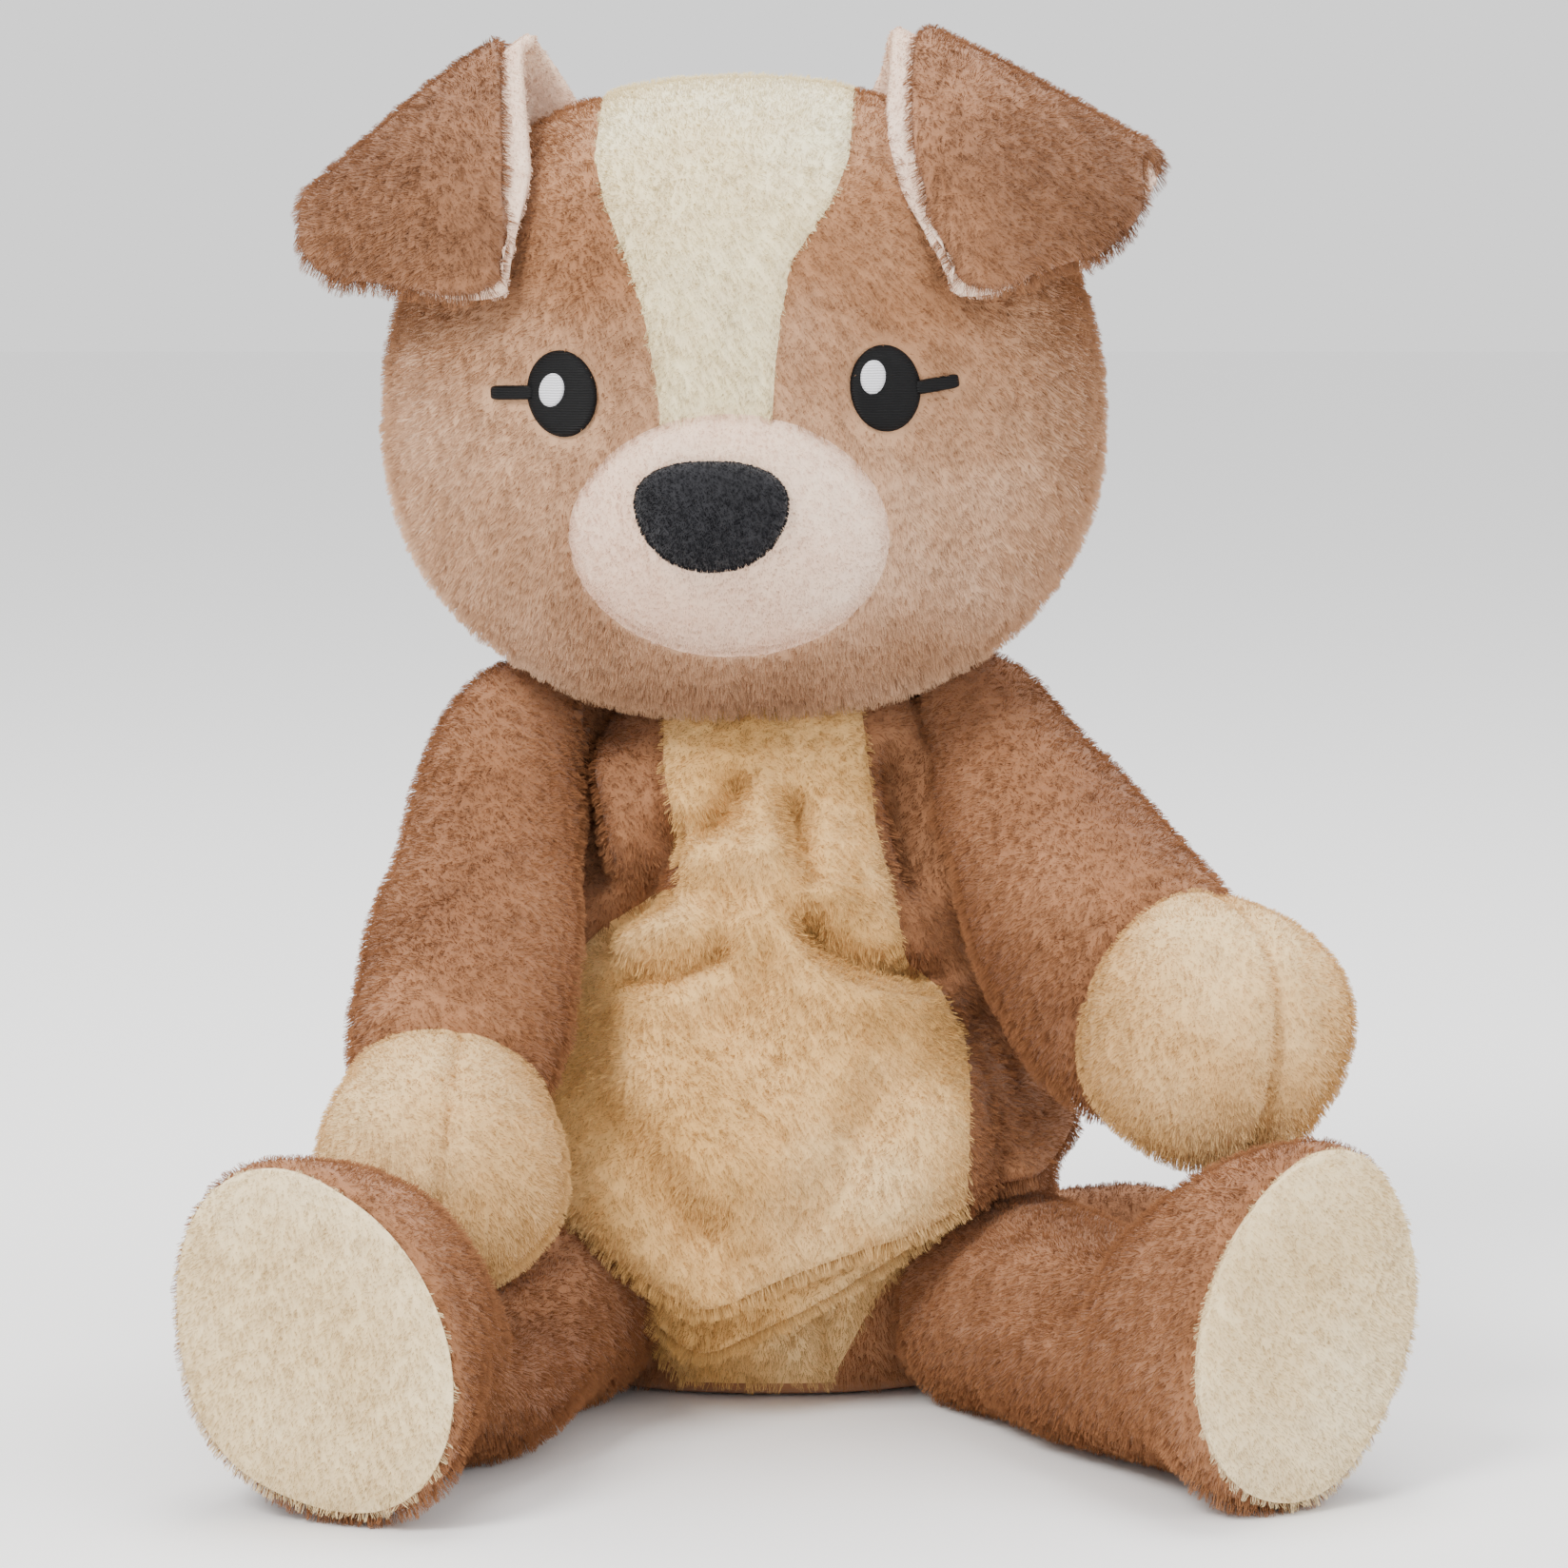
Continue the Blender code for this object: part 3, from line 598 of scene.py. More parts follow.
def build_head():
    points, faces = head_form()
    work = cut_seams(points, faces, [muzzle_seam, crown_seam, blaze_seam, middle_seam])
    whole = take_panel(work, "head_whole", everything)

    def on_muzzle(c):
        return muzzle_seam(c) < 0

    def on_blaze(c):
        return (blaze_seam(c) < 0) & (crown_seam(c) < 0) & ~on_muzzle(c)

    def on_face(c):
        return (crown_seam(c) < 0) & ~on_blaze(c) & ~on_muzzle(c)

    panels = (
        ("head_side_left_cloth", "brown", "brown_pile", ["head_side_left"],
         lambda c: on_face(c) & (middle_seam(c) > 0)),
        ("head_side_right_cloth", "brown", "brown_pile", ["head_side_right"],
         lambda c: on_face(c) & (middle_seam(c) < 0)),
        ("head_back_left_cloth", "brown", "brown_pile", ["head_back_left", "head_stuffing"],
         lambda c: (crown_seam(c) > 0) & (middle_seam(c) > 0)),
        ("head_back_right_cloth", "brown", "brown_pile", ["head_back_right"],
         lambda c: (crown_seam(c) > 0) & (middle_seam(c) < 0)),
        ("forehead_blaze_cloth", "cream", "cream_pile", ["forehead_blaze"], on_blaze),
    )
    for name, kind, slot, nodes, chooser in panels:
        mesh = take_panel(work, name, chooser)
        add_piece(name, mesh, kind, "head", nodes, weight=clear_of_eyes(mesh))
    mesh = take_panel(work, "muzzle_cloth", on_muzzle)
    add_piece("muzzle_cloth", mesh, "pink", "head", ["muzzle"],
              pile=0.6, density=0.3)
    work.free()
    return whole


# Middles on the face (x, z), with a lean in degrees for the lashes and glints.
EYES = {"right": (-43.0, 231.0), "left": (27.3, 232.3)}
EYE_HALF = (7.7, 9.4)
LASHES = {"right": (-54.0, 231.0, 2), "left": (38.6, 233.0, 9)}
LASH_HALF = (4.9, 1.55)
GLINTS = {"right": (-45.2, 231.8, -14), "left": (24.6, 234.8, -6)}
GLINT_HALF = (2.9, 3.9)
NOSE = (-10.4, 205.2)


def clear_of_eyes(mesh):
    """Vertex weights that keep the pile off the embroidery."""
    points = np.array([v.co for v in mesh.vertices]) / MM
    weight = np.ones(len(points))
    for x, z in EYES.values():
        away = np.hypot((points[:, 0] - x) / (EYE_HALF[0] + 0.2), (points[:, 2] - z) / (EYE_HALF[1] + 0.2))
        weight *= np.where(points[:, 1] < 0, smooth_step(away, 1.08, 1.26), 1.0)
    for x, z, lean in LASHES.values():
        reach = 4.6 * np.array((math.cos(math.radians(lean)), math.sin(math.radians(lean))))
        gap, _ = polyline_distance(points[:, [0, 2]], [(x, z) - reach, (x, z) + reach])
        weight *= np.where(points[:, 1] < 0, smooth_step(gap, 2.0, 3.2), 1.0)
    return weight


# ---------------------------------------------------------------- embroidery and nose
def face_finder(mesh):
    """Gives the y (mm) of the face's front surface at x and z (mm)."""
    work = bmesh.new()
    work.from_mesh(mesh)
    tree = BVHTree.FromBMesh(work)
    work.free()

    def find(x, z):
        hit = tree.ray_cast(Vector((x * MM, -0.3, z * MM)), Vector((0, 1, 0)))[0]
        return hit.y / MM

    return find


def patch_mesh(name, find, middle, outline, height, edge=0.35, rings=14):
    """A raised patch on the face.  outline(angle) gives the rim's offset from the middle."""
    sides = 56
    points, faces = [], []
    rows = [(1.0, -1.2)] + [(1 - k / rings, None) for k in range(rings)]
    for share, lift in rows:
        for s in range(sides):
            angle = 2 * math.pi * s / sides
            across, rise = outline(angle)
            x, z = middle[0] + across * share, middle[1] + rise * share
            if lift is None:
                dome = min((1 - share) / edge, 1.0)
                raised = height * (0.45 + 0.55 * math.sqrt(1 - (1 - dome) ** 2))
            else:
                raised = lift
            points.append((x, find(x, z) - raised, z))
    for k in range(len(rows) - 1):
        for s in range(sides):
            a, b = k * sides + s, k * sides + (s + 1) % sides
            faces.append((a, b, b + sides, a + sides))
    faces.append([(len(rows) - 1) * sides + s for s in range(sides)])
    return make_mesh(name, points, faces)


def leaned(u, v, lean):
    turn = math.radians(lean)
    return u * math.cos(turn) - v * math.sin(turn), u * math.sin(turn) + v * math.cos(turn)


def oval(half, lean):
    def outline(angle):
        return leaned(half[0] * math.cos(angle), half[1] * math.sin(angle), lean)

    return outline


def bar(half_long, half_thick, lean):
    """A stitched lash: a short bar with rounded corners."""

    def outline(angle):
        c, s = math.cos(angle), math.sin(angle)
        size = (abs(c) ** 6 + abs(s) ** 6) ** (-1 / 6)
        return leaned(half_long * c * size, half_thick * s * size, lean)

    return outline


def nose_outline(angle):
    """A soft triangle, broad above and narrow below."""
    c, s = math.cos(angle), math.sin(angle)
    size = (abs(c) ** 2.3 + abs(s) ** 2.3) ** (-1 / 2.3)
    rise = 11.8 * s * size
    across = 17.0 * c * size * (1 + 0.014 * (rise - 4))
    return across, rise


def thread_material(name, colour, sheen):
    """Satin stitch: fine parallel threads with a soft shine."""
    mat, nodes, links, shader = new_material(name)
    where = nodes.new("ShaderNodeTexCoord").outputs["Object"]
    wave = nodes.new("ShaderNodeTexWave")
    wave.bands_direction = "Z"
    wave.inputs["Scale"].default_value = 560
    wave.inputs["Distortion"].default_value = 1.6
    wave.inputs["Detail"].default_value = 2.0
    links.new(where, wave.inputs["Vector"])
    tint = ramp(nodes, links, wave.outputs["Fac"], ((0.1, tone(colour, 0.72)), (0.8, tone(colour, 1.25))))
    links.new(tint, shader.inputs["Base Color"])
    shader.inputs["Roughness"].default_value = 0.5
    shader.inputs["Specular IOR Level"].default_value = sheen
    relief = nodes.new("ShaderNodeBump")
    relief.inputs["Strength"].default_value = 0.6
    relief.inputs["Distance"].default_value = 0.0003
    links.new(wave.outputs["Fac"], relief.inputs["Height"])
    links.new(relief.outputs["Normal"], shader.inputs["Normal"])
    return mat


def add_stitched(name, mesh, mat, node):
    mesh.materials.append(mat)
    mesh.shade_smooth()
    obj = bpy.data.objects.new(name, mesh)
    bpy.context.collection.objects.link(obj)
    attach(obj, "head")
    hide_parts(node)


def build_face(find):
    black = thread_material("black_thread", (0.005, 0.005, 0.0055), 0.12)
    white = thread_material("white_thread", (0.62, 0.62, 0.66), 0.4)
    for side, (x, z) in EYES.items():
        disc = patch_mesh(f"eye_{side}_stitch", find, (x, z), oval(EYE_HALF, 8), 2.0)
        add_stitched(f"eye_{side}_stitch", disc, black, f"eye_{side}")
        gx, gz, lean = GLINTS[side]
        spot = patch_mesh(f"glint_{side}_stitch", find, (gx, gz), oval(GLINT_HALF, lean), 2.75)
        add_stitched(f"glint_{side}_stitch", spot, white, f"eye_highlight_{side}")
        lx, lz, lean = LASHES[side]
        strip = patch_mesh(f"lash_{side}_stitch", find, (lx, lz), bar(*LASH_HALF, lean), 2.2)
        add_stitched(f"lash_{side}_stitch", strip, black, f"eyelash_{side}")
    pad = patch_mesh("nose_cloth", find, NOSE, nose_outline, 5.2, 0.6, 22)
    add_piece("nose_cloth", pad, "black", "head", ["nose"], pile=0.5, density=0.9)


# ---------------------------------------------------------------- ears
def surface_rows(rows, columns, steps):
    """Smooth grid through rows of control points: columns across, steps along."""
    rows = np.array(rows, float)
    fine = np.array([catmull_rom(rows.reshape(len(rows), -1), v)
                     for v in np.linspace(0, len(rows) - 1, steps)])
    fine = fine.reshape(steps, rows.shape[1], 3)
    grid = np.array([[catmull_rom(line, u) for u in np.linspace(0, rows.shape[1] - 1, columns)]
                     for line in fine])
    return grid


def grid_normals(grid):
    across = np.gradient(grid, axis=1)
    along = np.gradient(grid, axis=0)
    normal = np.cross(across, along)
    return normal / np.maximum(np.linalg.norm(normal, axis=2)[:, :, None], 1e-9)


def sheet_mesh(name, grid, lift, half, rim=3.0):
    """A padded cloth layer over a grid: lifted along the normal, rounded at its rim."""
    steps, columns, _ = grid.shape
    normal = grid_normals(grid)
    across = np.linalg.norm(np.diff(grid, axis=1), axis=2).sum(axis=1).mean()
    along = np.linalg.norm(np.diff(grid, axis=0), axis=2).sum(axis=0).mean()
    u = np.linspace(0, 1, columns)
    v = np.linspace(0, 1, steps)
    edge = np.minimum.outer(np.minimum(v, 1 - v) * along, np.minimum(u, 1 - u) * across)
    full = np.clip(edge / rim, 0, 1)
    thick = half * np.sqrt(1 - (1 - full) ** 2)
    upper = grid + normal * (lift + thick)[:, :, None]
    lower = grid + normal * (lift - thick)[:, :, None]
    points = np.concatenate([upper.reshape(-1, 3), lower.reshape(-1, 3)])
    count = steps * columns
    faces = []
    for i in range(steps - 1):
        for j in range(columns - 1):
            a = i * columns + j
            quad = (a, a + 1, a + columns + 1, a + columns)
            faces.append(quad)
            faces.append(tuple(count + k for k in reversed(quad)))
    mesh = make_mesh(name, points, faces)
    work = bmesh.new()
    work.from_mesh(mesh)
    bmesh.ops.remove_doubles(work, verts=work.verts, dist=0.02 * MM)
    bmesh.ops.recalc_face_normals(work, faces=work.faces)
    work.to_mesh(mesh)
    work.free()
    return mesh


EAR_ROWS = {
    "right": (((-44, -3, 286), (-80, -3, 250)), ((-51, -4, 297), (-93, -6, 261)),
              ((-56, -8, 304), (-99, -13, 269)), ((-57, -15, 305.5), (-101, -20, 270)),
              ((-58, -26, 301), (-101, -28, 266.5)), ((-56.5, -52, 278), (-100, -34, 260)),
              ((-55, -69, 252), (-93, -38, 256))),
    "left": (((27, -3, 286), (68, -3, 250)), ((33, -4, 298), (82, -5, 267)),
             ((35, -8, 306), (90, -9, 277)), ((36, -15, 308), (87, -17, 281)),
             ((34.5, -27, 303), (84, -26, 279)), ((34.5, -53, 280), (83, -34, 269)),
             ((43, -71, 252), (75, -38, 262))),
}


def ear_grid(side, wider=0.0):
    """Ear surface from its root on the head, over the fold, down to the flap's edge."""
    rows = []
    for k, (inner, outer) in enumerate(EAR_ROWS[side]):
        inner, outer = np.array(inner, float), np.array(outer, float)
        flap = max(k - 3, 0) / 3
        puff = np.array((0, -9.0, 3.0)) * math.sin(math.pi * min(flap, 0.8)) if flap else np.zeros(3)
        line = [inner + (outer - inner) * u for u in (0, 0.3, 0.7, 1)]
        line[1] = line[1] + puff
        line[2] = line[2] + puff * 0.7
        if k == 6:
            line[1] = line[1] + np.array((0, -1, -3.5))
            line[2] = line[2] + np.array((0, -1, -2.0))
        line[0] = line[0] + (line[0] - line[1]) / np.linalg.norm(line[0] - line[1]) * wider
        rows.append(line)
    return round_corner(surface_rows(rows, 44, 84))


def round_corner(grid):
    """Round the two free corners of the flap by pulling them in."""
    steps, columns, _ = grid.shape
    v = np.linspace(0, 1, steps)[:, None]
    u = np.linspace(-1, 1, columns)[None, :]
    pull = smooth_step(v, 0.82, 1.0) * np.abs(u) ** 5
    inside = grid[int(steps * 0.84), columns // 2]
    return grid + (inside - grid) * (0.26 * pull)[:, :, None]


def build_ear(side):
    flap = f"ear_flap_{side}"
    ends = ("head", flap, (0, -9, 290), (0, -24, 290))
    sign = 1 if side == "right" else -1
    outer = sheet_mesh(f"ear_{side}_outer", ear_grid(side), sign * 1.9, 2.0)
    lining = sheet_mesh(f"ear_{side}_lining", ear_grid(side, 6.5), sign * -1.2, 1.6)
    add_piece(f"ear_{side}_outer", outer, "ear", None,
              [f"ear_flap_outer_{side}", f"ear_base_outer_{side}"], ends, density=0.3)
    add_piece(f"ear_{side}_lining", lining, "lining", None,
              [f"ear_flap_lining_{side}", f"ear_base_lining_{side}"], ends, pile=0.7, density=0.3)


# ---------------------------------------------------------------- limbs
def plane_through(stations, index):
    """Signed distance to one ring's own plane, positive towards the limb's tip."""
    knots = np.array(stations, float)[:, :3]
    onward = knots[index + 1] - knots[index - 1]
    onward /= np.linalg.norm(onward)
    return lambda points: (points - knots[index]) @ onward


def limb_form(stations, sides, steps, seams, seed, wrinkle=0.8, folds=()):
    """Closed limb with every seam pulled in and slow unevenness in its filling."""
    inset = np.array(stations, float)
    inset[:, 3:5] = np.maximum(inset[:, 3:5] - PILE_STAND, 1.5)
    points, faces = tube_grid(inset, sides, steps)
    out = vertex_normals(points, faces)
    heart = np.repeat(points.reshape(steps, sides, 3).mean(axis=1), sides, axis=0)
    out *= np.sign(((points - heart) * out).sum(axis=1))[:, None]
    sink = ripple(points, 46, wrinkle, seed)
    for seam, depth in seams:
        sink += groove(seam(points), depth, 1.8)
    for line, height, width in folds:
        sink += fold(points, line, height, width)
    return points + out * sink[:, None], faces


# Rings of a limb: x, y, z, half wide, half high, roll in degrees.
ARM_RINGS = {
    "right": [(-34, -1, 151, 7, 8, 0), (-42, -1, 152, 15, 15, 0), (-50, -4, 151.5, 17, 18.5, 0),
              (-57, -15, 143, 19, 19.5, 0), (-60.5, -33, 126, 21.5, 20.5, 0),
              (-65, -51, 108, 23.5, 22.5, 0), (-67, -66, 93, 24.5, 24.5, 0), (-68, -78, 80.5, 23, 24, 0),
              (-68.5, -88, 70, 27, 27.3, 0), (-68.5, -97, 61, 27.5, 27.5, 0),
              (-68.5, -105.5, 53, 22.5, 22.5, 0), (-68.5, -110.5, 48.5, 13.5, 13, 0),
              (-68.5, -112, 47, 4, 4, 0)],
    "left": [(32, -1, 152, 7, 8, 0), (40, -1, 153, 15, 15, 0), (47, -5, 152.5, 17, 18.5, 0),
             (54, -16, 146, 19, 20.5, 0), (62, -31, 132, 22, 23.5, 0), (72, -47, 114.5, 26, 28, 0),
             (82, -62, 101.5, 27.5, 30, 0), (89.5, -74, 97, 26.5, 28.5, 0),
             (95.5, -84, 95, 29.5, 30.5, 0), (103, -95, 93, 28.5, 29.5, 0),
             (109.5, -105, 91, 22, 23, 0), (113, -110.5, 89.5, 13, 13.5, 0), (114, -112.5, 89, 4, 4, 0)],
}
ARM_FOLDS = {
    "right": (([(-40, -28, 128), (-46, -40, 112), (-48, -50, 98)], -2.6, 4.0),
              ([(-78, -22, 118), (-70, -45, 118), (-55, -50, 114)], -1.6, 5.0),
              ([(-82, -62, 84), (-70, -76, 100), (-54, -74, 98)], 1.5, 6.0)),
    "left": (([(40, -28, 130), (52, -44, 110), (64, -52, 96)], -2.8, 4.0),
             ([(58, -50, 128), (66, -60, 118), (70, -66, 104)], -2.2, 4.5),
             ([(78, -40, 134), (80, -58, 126), (78, -74, 112)], 1.8, 7.0)),
}
WRIST = 7                         # the ring where sleeve and paw are sewn together


def build_arm(side):
    rings = ARM_RINGS[side]
    wrist = plane_through(rings, WRIST)
    lean = {"right": (1.0, 0.0, -0.12), "left": (0.93, 0.37, -0.05)}[side]
    middle = np.array(rings[WRIST + 2][:3], float)

    def paw_middle(points):
        return (points - middle) @ (np.array(lean) / np.linalg.norm(lean))

    def centre_seam(points):
        return np.where(wrist(points) > 0, paw_middle(points), FAR)

    seams = [(wrist, 2.2), (centre_seam, 2.0)]
    points, faces = limb_form(rings, 80, 110, seams, 11, 1.0, ARM_FOLDS[side])
    work = cut_seams(points, faces, [wrist, paw_middle])
    body = f"arm_{side}"
    sleeve = take_panel(work, f"arm_sleeve_{side}_cloth", lambda c: wrist(c) < 0)
    add_piece(f"arm_sleeve_{side}_cloth", sleeve, "limb", body,
              [f"arm_sleeve_{side}", f"arm_stuffing_{side}"])
    low = "outer" if side == "right" else "inner"
    high = "inner" if side == "right" else "outer"
    for where, sign in ((low, -1), (high, 1)):
        name = f"paw_{where}_{side}_cloth"
        panel = take_panel(work, name, lambda c: (wrist(c) > 0) & (paw_middle(c) * sign > 0))
        add_piece(name, panel, "paw", body, [f"paw_{where}_panel_{side}"],
                  pile=1.6)
    work.free()


def resting(x, y, wide, high, roll=0.0):
    """A limb's ring that lies on the ground."""
    turn = math.radians(roll)
    rise = math.hypot(high * math.cos(turn), wide * math.sin(turn))
    return (x, y, rise + 0.4, wide, high, roll)


LEG_FOLDS = {
    "right": (([(-40, -62, 42), (-58, -84, 40), (-74, -104, 48)], -3.0, 4.5),
              ([(-30, -56, 30), (-46, -84, 24), (-58, -112, 22)], -2.2, 5.0),
              ([(-36, -60, 36), (-52, -84, 34), (-66, -106, 38)], 2.0, 6.0)),
    "left": (([(34, -52, 44), (60, -74, 50), (84, -104, 56)], -3.4, 4.5),
             ([(30, -60, 34), (56, -88, 34), (82, -122, 34)], -2.4, 6.0),
             ([(34, -56, 40), (58, -82, 44), (82, -114, 48)], 2.2, 6.0)),
}


def leg_rings(side):
    """Rings of a leg from the hip (x, y) to the sole, and the number of the sole's rim."""
    if side == "right":
        x, y = -47, -37
        rings = [(x + 8.5, y + 22, 25.9, 9, 9, 0), (x + 6.2, y + 16, 25.9, 18, 18, 0)]
        rings += [(x + 2.9, y + 7.5, 25.9, 24, 24, 0), (x, y, 25.9, 25.5, 25.5, 0)]
        rings += [resting(x - 9, y - 23, 26, 23.5), resting(x - 18, y - 47, 27, 18.5)]
        rings += [resting(x - 25, y - 65, 28, 17, -10), resting(x - 31.5, y - 80, 29, 20, -20)]
        rings += [resting(x - 35.5, y - 90, 31, 28, -27), resting(x - 38.5, y - 98, 32, 36, -32)]
        rings += [resting(x - 41, y - 105, 32.5, 39, -34), resting(x - 45, y - 115, 32, 40, -35)]
    else:
        x, y = 55, -37
        rings = [(x - 11.4, y + 20.6, 25.9, 9, 9, 0), (x - 8.2, y + 14.9, 25.9, 18, 18, 0)]
        rings += [(x - 3.9, y + 7, 25.9, 24, 24, 0), (x, y, 25.9, 25.5, 25.5, 0)]
        rings += [resting(x + 12, y - 22, 26, 24.5), resting(x + 24, y - 44, 27, 23)]
        rings += [resting(x + 31.5, y - 57, 27, 23.5, 6), resting(x + 38.5, y - 70, 28, 26, 12)]
        rings += [resting(x + 45, y - 81, 30, 33, 18), resting(x + 51, y - 90, 31, 38, 25)]
        rings += [resting(x + 59.5, y - 101, 31, 39.5, 28)]
    sole = len(rings) - 1
    ax, ay, az, wide, high, roll = rings[-1]
    bx, by, bz = rings[-2][:3]
    onward = np.array((ax - bx, ay - by, az - bz))
    onward /= np.linalg.norm(onward)
    for ahead, share in ((2.2, 0.93), (3.6, 0.74), (4.4, 0.45), (4.7, 0.12)):
        centre = np.array((ax, ay, az)) + onward * ahead
        rings.append((*centre, wide * share, high * share, roll))
    return rings, sole


def build_leg(side):
    rings, sole = leg_rings(side)
    rim = plane_through(rings, sole)
    points, faces = limb_form(rings, 88, 120, [(rim, 1.4)], 23, 1.2, LEG_FOLDS[side])
    points[:, 2] = np.maximum(points[:, 2], PILE_STAND * 0.6)
    work = cut_seams(points, faces, [rim])
    body = f"leg_{side}"
    sleeve = take_panel(work, f"leg_{side}_cloth", lambda c: rim(c) < 0)
    add_piece(f"leg_{side}_cloth", sleeve, "limb", body,
              [f"leg_sleeve_{side}", f"leg_stuffing_{side}"])
    pad = take_panel(work, f"sole_{side}_cloth", lambda c: rim(c) > 0)
    add_piece(f"sole_{side}_cloth", pad, "sole", body, [f"foot_sole_{side}"],
              pile=1.4)
    work.free()


def build_tail():
    x, y = 36, 66
    rings = [(x - 18, y - 20, 16, 6, 7, 0), (x - 14, y - 15, 15, 10, 11, 0)]
    rings += [(x - 6, y - 6, 14, 12, 12.5, 0), resting(x + 3, y, 12.5, 13)]
    rings += [resting(x + 19, y + 2, 13.4, 14), resting(x + 39, y + 4, 14.4, 15.5)]
    rings += [resting(x + 56, y + 5, 14.2, 15.7), resting(x + 65, y + 5, 10.5, 12.5)]
    rings += [resting(x + 70, y + 5, 4, 6)]
    points, faces = limb_form(rings, 56, 60, [], 31, 0.6)
    work = cut_seams(points, faces, [])
    mesh = take_panel(work, "tail_cloth", everything)
    work.free()
    add_piece("tail_cloth", mesh, "limb", "tail", ["tail_skin", "tail_stuffing"])


# ---------------------------------------------------------------- torso
# Rings of the body: z, half wide, half deep, y of the middle.
TORSO_PROFILE = [(0, 47, 37, 8), (2, 53, 43, 8), (8, 58, 46, 8), (20, 61.5, 49, 8), (38, 65, 52, 7.4),
                 (56, 66, 54, 7), (72, 65.5, 54, 6.5), (90, 62, 52, 6), (106, 57, 49, 5.8),
                 (122, 51, 44, 5.5), (136, 46, 39, 5.2), (148, 43, 34, 5), (157, 37, 29, 5),
                 (164, 27, 22, 5), (168, 12, 9, 5)]
# Edges of the belly panel (z, x).
BELLY_RIGHT = ((-5, -18), (6, -19), (24, -34), (40, -45), (50, -48), (76, -50), (92, -48), (100, -44),
               (108, -36), (114, -26), (120, -18), (130, -19), (145, -22), (165, -22))
BELLY_LEFT = ((-5, 17), (6, 17), (26, 27), (40, 40), (50, 46), (76, 47), (85, 46), (95, 41),
              (101, 33), (116, 30), (132, 26), (165, 22))
BACK_Y = 24
SEAT_Z = 4.0
FOLD_RELIEF = 1.6                 # how boldly the front folds stand out
# Each fold is a line on the front or back (x, z), its height and its width; a negative one is a crease.
FOLDS = (
    (((-20, 128), (-12, 125), (-1, 124), (9, 122), (13, 116), (11, 109)), 4.5, 6.0),
    (((15, 117), (11, 110), (14, 106), (22, 102), (36, 99.5), (46, 99)), -6.5, 3.4),
    (((-42, 95), (-30, 97), (-18, 99), (-6, 104), (1, 110), (7, 105), (18, 97), (32, 93), (46, 90)),
     5.0, 8.0),
    (((-34, 106), (-27, 109), (-18, 111), (-6, 110)), 4.0, 6.0),
    (((-36, 98), (-26, 99), (-18, 99.5), (-9, 104), (-4, 109)), -4.5, 3.2),
    (((-38, 104), (-31, 110), (-25, 114), (-15, 117)), -5.0, 3.6),
    (((-16, 136), (-21, 126), (-28, 117), (-35, 108)), -6.0, 4.0),
    (((-43, 61), (-34, 57), (-26, 52), (-16, 43), (-6, 35), (4, 31), (14, 33), (26, 38), (38, 46), (51, 54)),
     3.0, 5.5),
    (((12, 24), (15, 15), (14, 4)), -1.6, 2.2),
    (((46, 54), (54, 57), (63, 60), (76, 66)), 6.5, 6.0),
    (((46, 47), (57, 50), (67, 54), (80, 60)), -6.0, 4.0),
    (((-4, 98), (8, 91), (15, 84), (18, 72)), 2.2, 9.0),
    (((-15, 127), (-8, 135), (-1, 144)), -5.0, 3.2),
    (((6, 143), (9, 128), (13, 115)), -4.5, 3.2),
    (((-4, 143), (1, 133), (4, 122)), 3.0, 5.0),
    (((-34, 150), (-30, 134), (-27, 120)), 3.0, 5.0),
    (((-40, 150), (-37, 132), (-36, 114)), -4.0, 4.0),
    (((28, 152), (32, 134), (37, 112)), -4.5, 3.6),
    (((35, 152), (40, 132), (45, 110)), 3.0, 5.0),
    (((-34, 90), (-20, 80), (-10, 68), (-2, 56)), 2.6, 9.0),
    (((-36, 78), (-26, 70), (-14, 56), (-8, 46)), -2.2, 5.0),
    (((24, 86), (22, 72), (12, 58), (4, 46)), -2.0, 6.0),
    (((40, 84), (38, 70), (28, 58), (18, 50)), 2.2, 7.0),
    (((44, 96), (54, 84), (60, 72)), -3.0, 5.0),
)
BACK_FOLDS = (
    (((-46, 96), (-20, 90), (8, 92), (40, 98)), -3.5, 5.0),
    (((-40, 70), (-10, 62), (24, 64), (48, 72)), 3.0, 10.0),
    (((-34, 122), (-8, 116), (20, 118), (38, 124)), -3.0, 4.5),
    (((-50, 44), (-20, 36), (14, 36), (52, 46)), -2.5, 6.0),
)


def belly_seam(points):
    right = np.interp(points[:, 2], *zip(*BELLY_RIGHT))
    left = np.interp(points[:, 2], *zip(*BELLY_LEFT))
    outside = np.maximum(right - points[:, 0], points[:, 0] - left)
    return np.where(points[:, 1] < TORSO_Y, outside, FAR)


def back_seam(points):
    return points[:, 1] - BACK_Y


def seat_seam(points):
    return SEAT_Z - points[:, 2]


def torso_middle(points):
    return points[:, 0] - TORSO_X


def drape(flat, apex, slopes, rise):
    """0 below a V-shaped hem, 1 above it."""
    off = flat[:, 0] - apex[0]
    run = np.sqrt(off**2 + 25) - 5
    hem = apex[1] + run * np.where(off < 0, slopes[0], slopes[1])
    return smooth_step(flat[:, 1] - hem, -rise / 2, rise / 2)


def belly_bag(flat):
    """The slack belly hangs in two steps over the thighs and thins out upwards."""
    hang = 12 * drape(flat, (-12, 17), (0.95, 0.66), 5.0)
    hang += 11 * drape(flat, (-12, 34), (0.72, 0.42), 6.0)
    top = 1 - 0.85 * smooth_step(flat[:, 1], 58, 106)
    sides = np.exp(-(((flat[:, 0] - TORSO_X) / 58) ** 6))
    return hang * top * sides


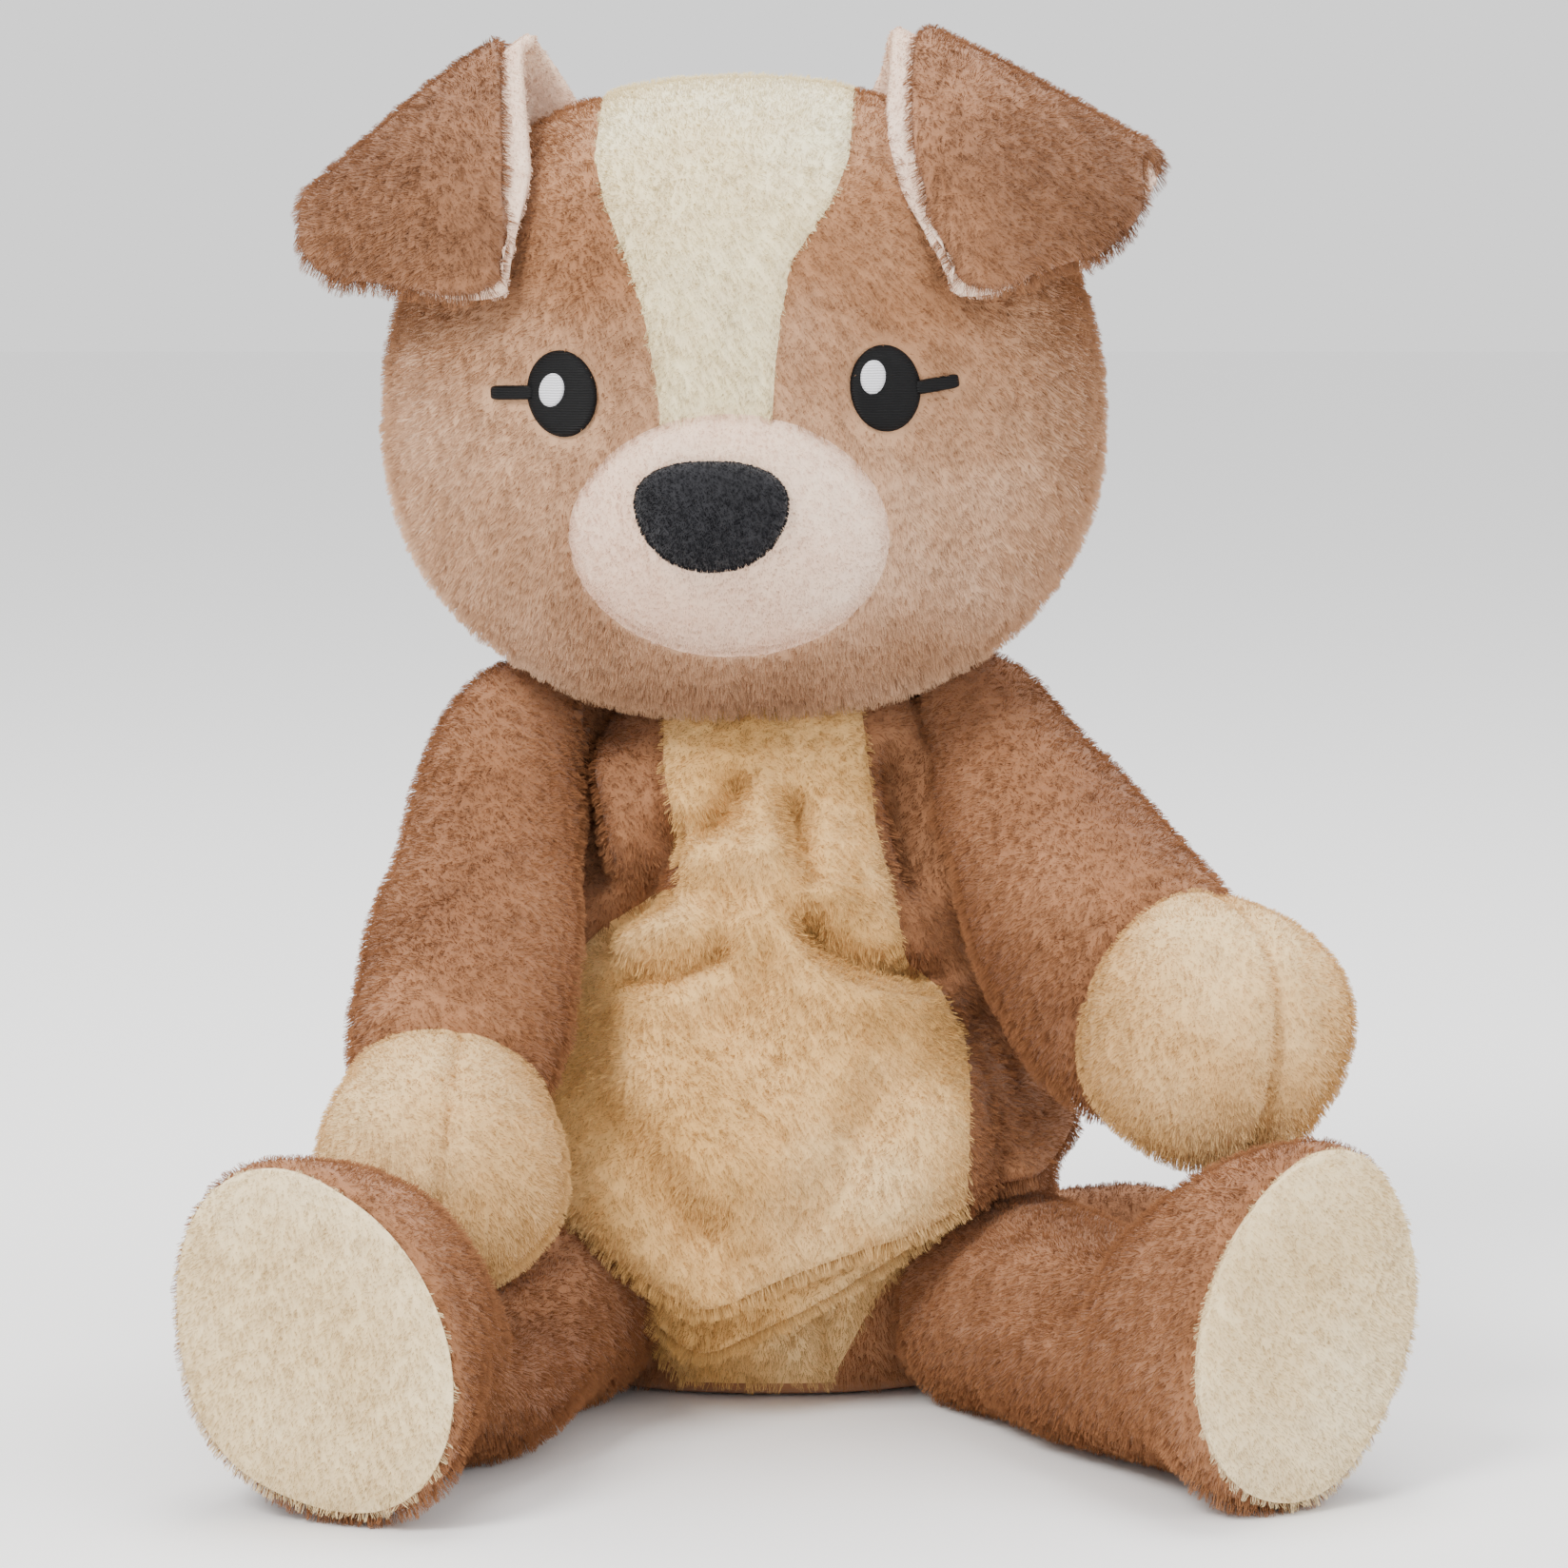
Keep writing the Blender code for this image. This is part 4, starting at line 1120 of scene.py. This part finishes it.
def torso_form():
    """The plain bag of the body, before it sags and folds."""
    sides, steps = 208, 170
    profile = np.array(TORSO_PROFILE, float)
    rows = np.array([catmull_rom(profile, v) for v in np.linspace(0, len(profile) - 1, steps)])
    angle = np.arange(sides) * 2 * math.pi / sides
    c, s = np.cos(angle), np.sin(angle)
    size = (np.abs(c) ** 2.25 + np.abs(s) ** 2.25) ** (-1 / 2.25)
    points = []
    for z, wide, deep, y in rows:
        wide, deep = max(wide - PILE_STAND, 2), max(deep - PILE_STAND, 2)
        ring = [TORSO_X + wide * c * size, y + deep * s * size, np.full(sides, z)]
        points.append(np.stack(ring, axis=1))
    return np.concatenate(points), ring_faces(sides, steps)


def sculpt_torso(points, faces):
    """Belly bag, folds and creases of slack cloth, and the seams."""
    out = vertex_normals(points, faces)
    out *= np.sign((out * (points - np.array((TORSO_X, TORSO_Y, 80)))).sum(axis=1))[:, None]
    flat = points[:, [0, 2]]
    ahead = smooth_step(-out[:, 1], 0.1, 0.5)
    behind = smooth_step(out[:, 1], 0.2, 0.6)
    chest = 3 * np.exp(-((flat[:, 0] + 2) / 30) ** 2 - ((flat[:, 1] - 128) / 16) ** 2)
    lift = ahead * chest
    for line, height, width in FOLDS:
        lift += ahead * fold(flat, line, FOLD_RELIEF * height, width)
    for line, height, width in BACK_FOLDS:
        lift += behind * fold(flat, line, height, width)
    free = smooth_step(points[:, 2], 3, 14)
    lift += ripple(points, 52, 1.0, 5) * free
    lift += groove(belly_seam(points), 1.2, 1.7)
    lift += groove(back_seam(points), 0.9, 1.8) * free
    spine = np.where(points[:, 1] > BACK_Y, torso_middle(points), FAR)
    lift += groove(spine, 1.0, 1.8) * free
    sag = (0.72 * out + np.array((0, -0.28, -0.22))) * (ahead * belly_bag(flat))[:, None]
    moved = points + (out * lift[:, None] + sag) * smooth_step(points[:, 2], 0, 6)[:, None]
    moved[:, 2] = np.maximum(moved[:, 2], 0.5)
    return moved


def build_torso():
    points, faces = torso_form()
    points = sculpt_torso(points, faces)
    work = cut_seams(points, faces, [seat_seam, back_seam, belly_seam, torso_middle])

    def on_seat(c):
        return seat_seam(c) > 0

    def on_back(c):
        return (back_seam(c) > 0) & ~on_seat(c)

    def on_belly(c):
        return (belly_seam(c) < 0) & ~on_seat(c) & ~on_back(c)

    def on_flank(c):
        return ~on_seat(c) & ~on_back(c) & ~on_belly(c)

    panels = (
        ("belly_cloth", "golden", "golden_pile", ["belly_panel", "torso_stuffing", "bead_pouch"], on_belly),
        ("torso_left_cloth", "limb", "brown_pile", ["torso_side_left"],
         lambda c: on_flank(c) & (torso_middle(c) > 0)),
        ("torso_right_cloth", "limb", "brown_pile", ["torso_side_right"],
         lambda c: on_flank(c) & (torso_middle(c) < 0)),
        ("torso_back_cloth", "limb", "brown_pile", ["torso_back"], on_back),
        ("seat_cloth", "limb", "brown_pile", ["seat_panel"], on_seat),
    )
    for name, kind, slot, nodes, chooser in panels:
        bare = name == "seat_cloth"
        add_piece(name, take_panel(work, name, chooser), kind, "torso", nodes,
                  pile=0 if bare else PILE)
    work.free()


def build_neck():
    """A short stuffed roll, hidden where the head sits down on the body."""
    sides, rings = 40, ((142, 20), (148, 23), (158, 23), (166, 18))
    angle = np.arange(sides) * 2 * math.pi / sides
    points = [np.stack([r * np.cos(angle) - 3.7, r * np.sin(angle), np.full(sides, z)], axis=1)
              for z, r in rings]
    mesh = make_mesh("neck_cloth", np.concatenate(points), ring_faces(sides, len(rings)))
    add_piece("neck_cloth", mesh, "limb", "neck", ["neck_collar", "neck_stuffing"],
              pile=0)


# ---------------------------------------------------------------- assembly
def main():
    add_camera()
    add_studio()
    face = build_head()
    build_face(face_finder(face))
    for side in ("right", "left"):
        build_ear(side)
        build_arm(side)
        build_leg(side)
    build_torso()
    build_neck()
    build_tail()


main()
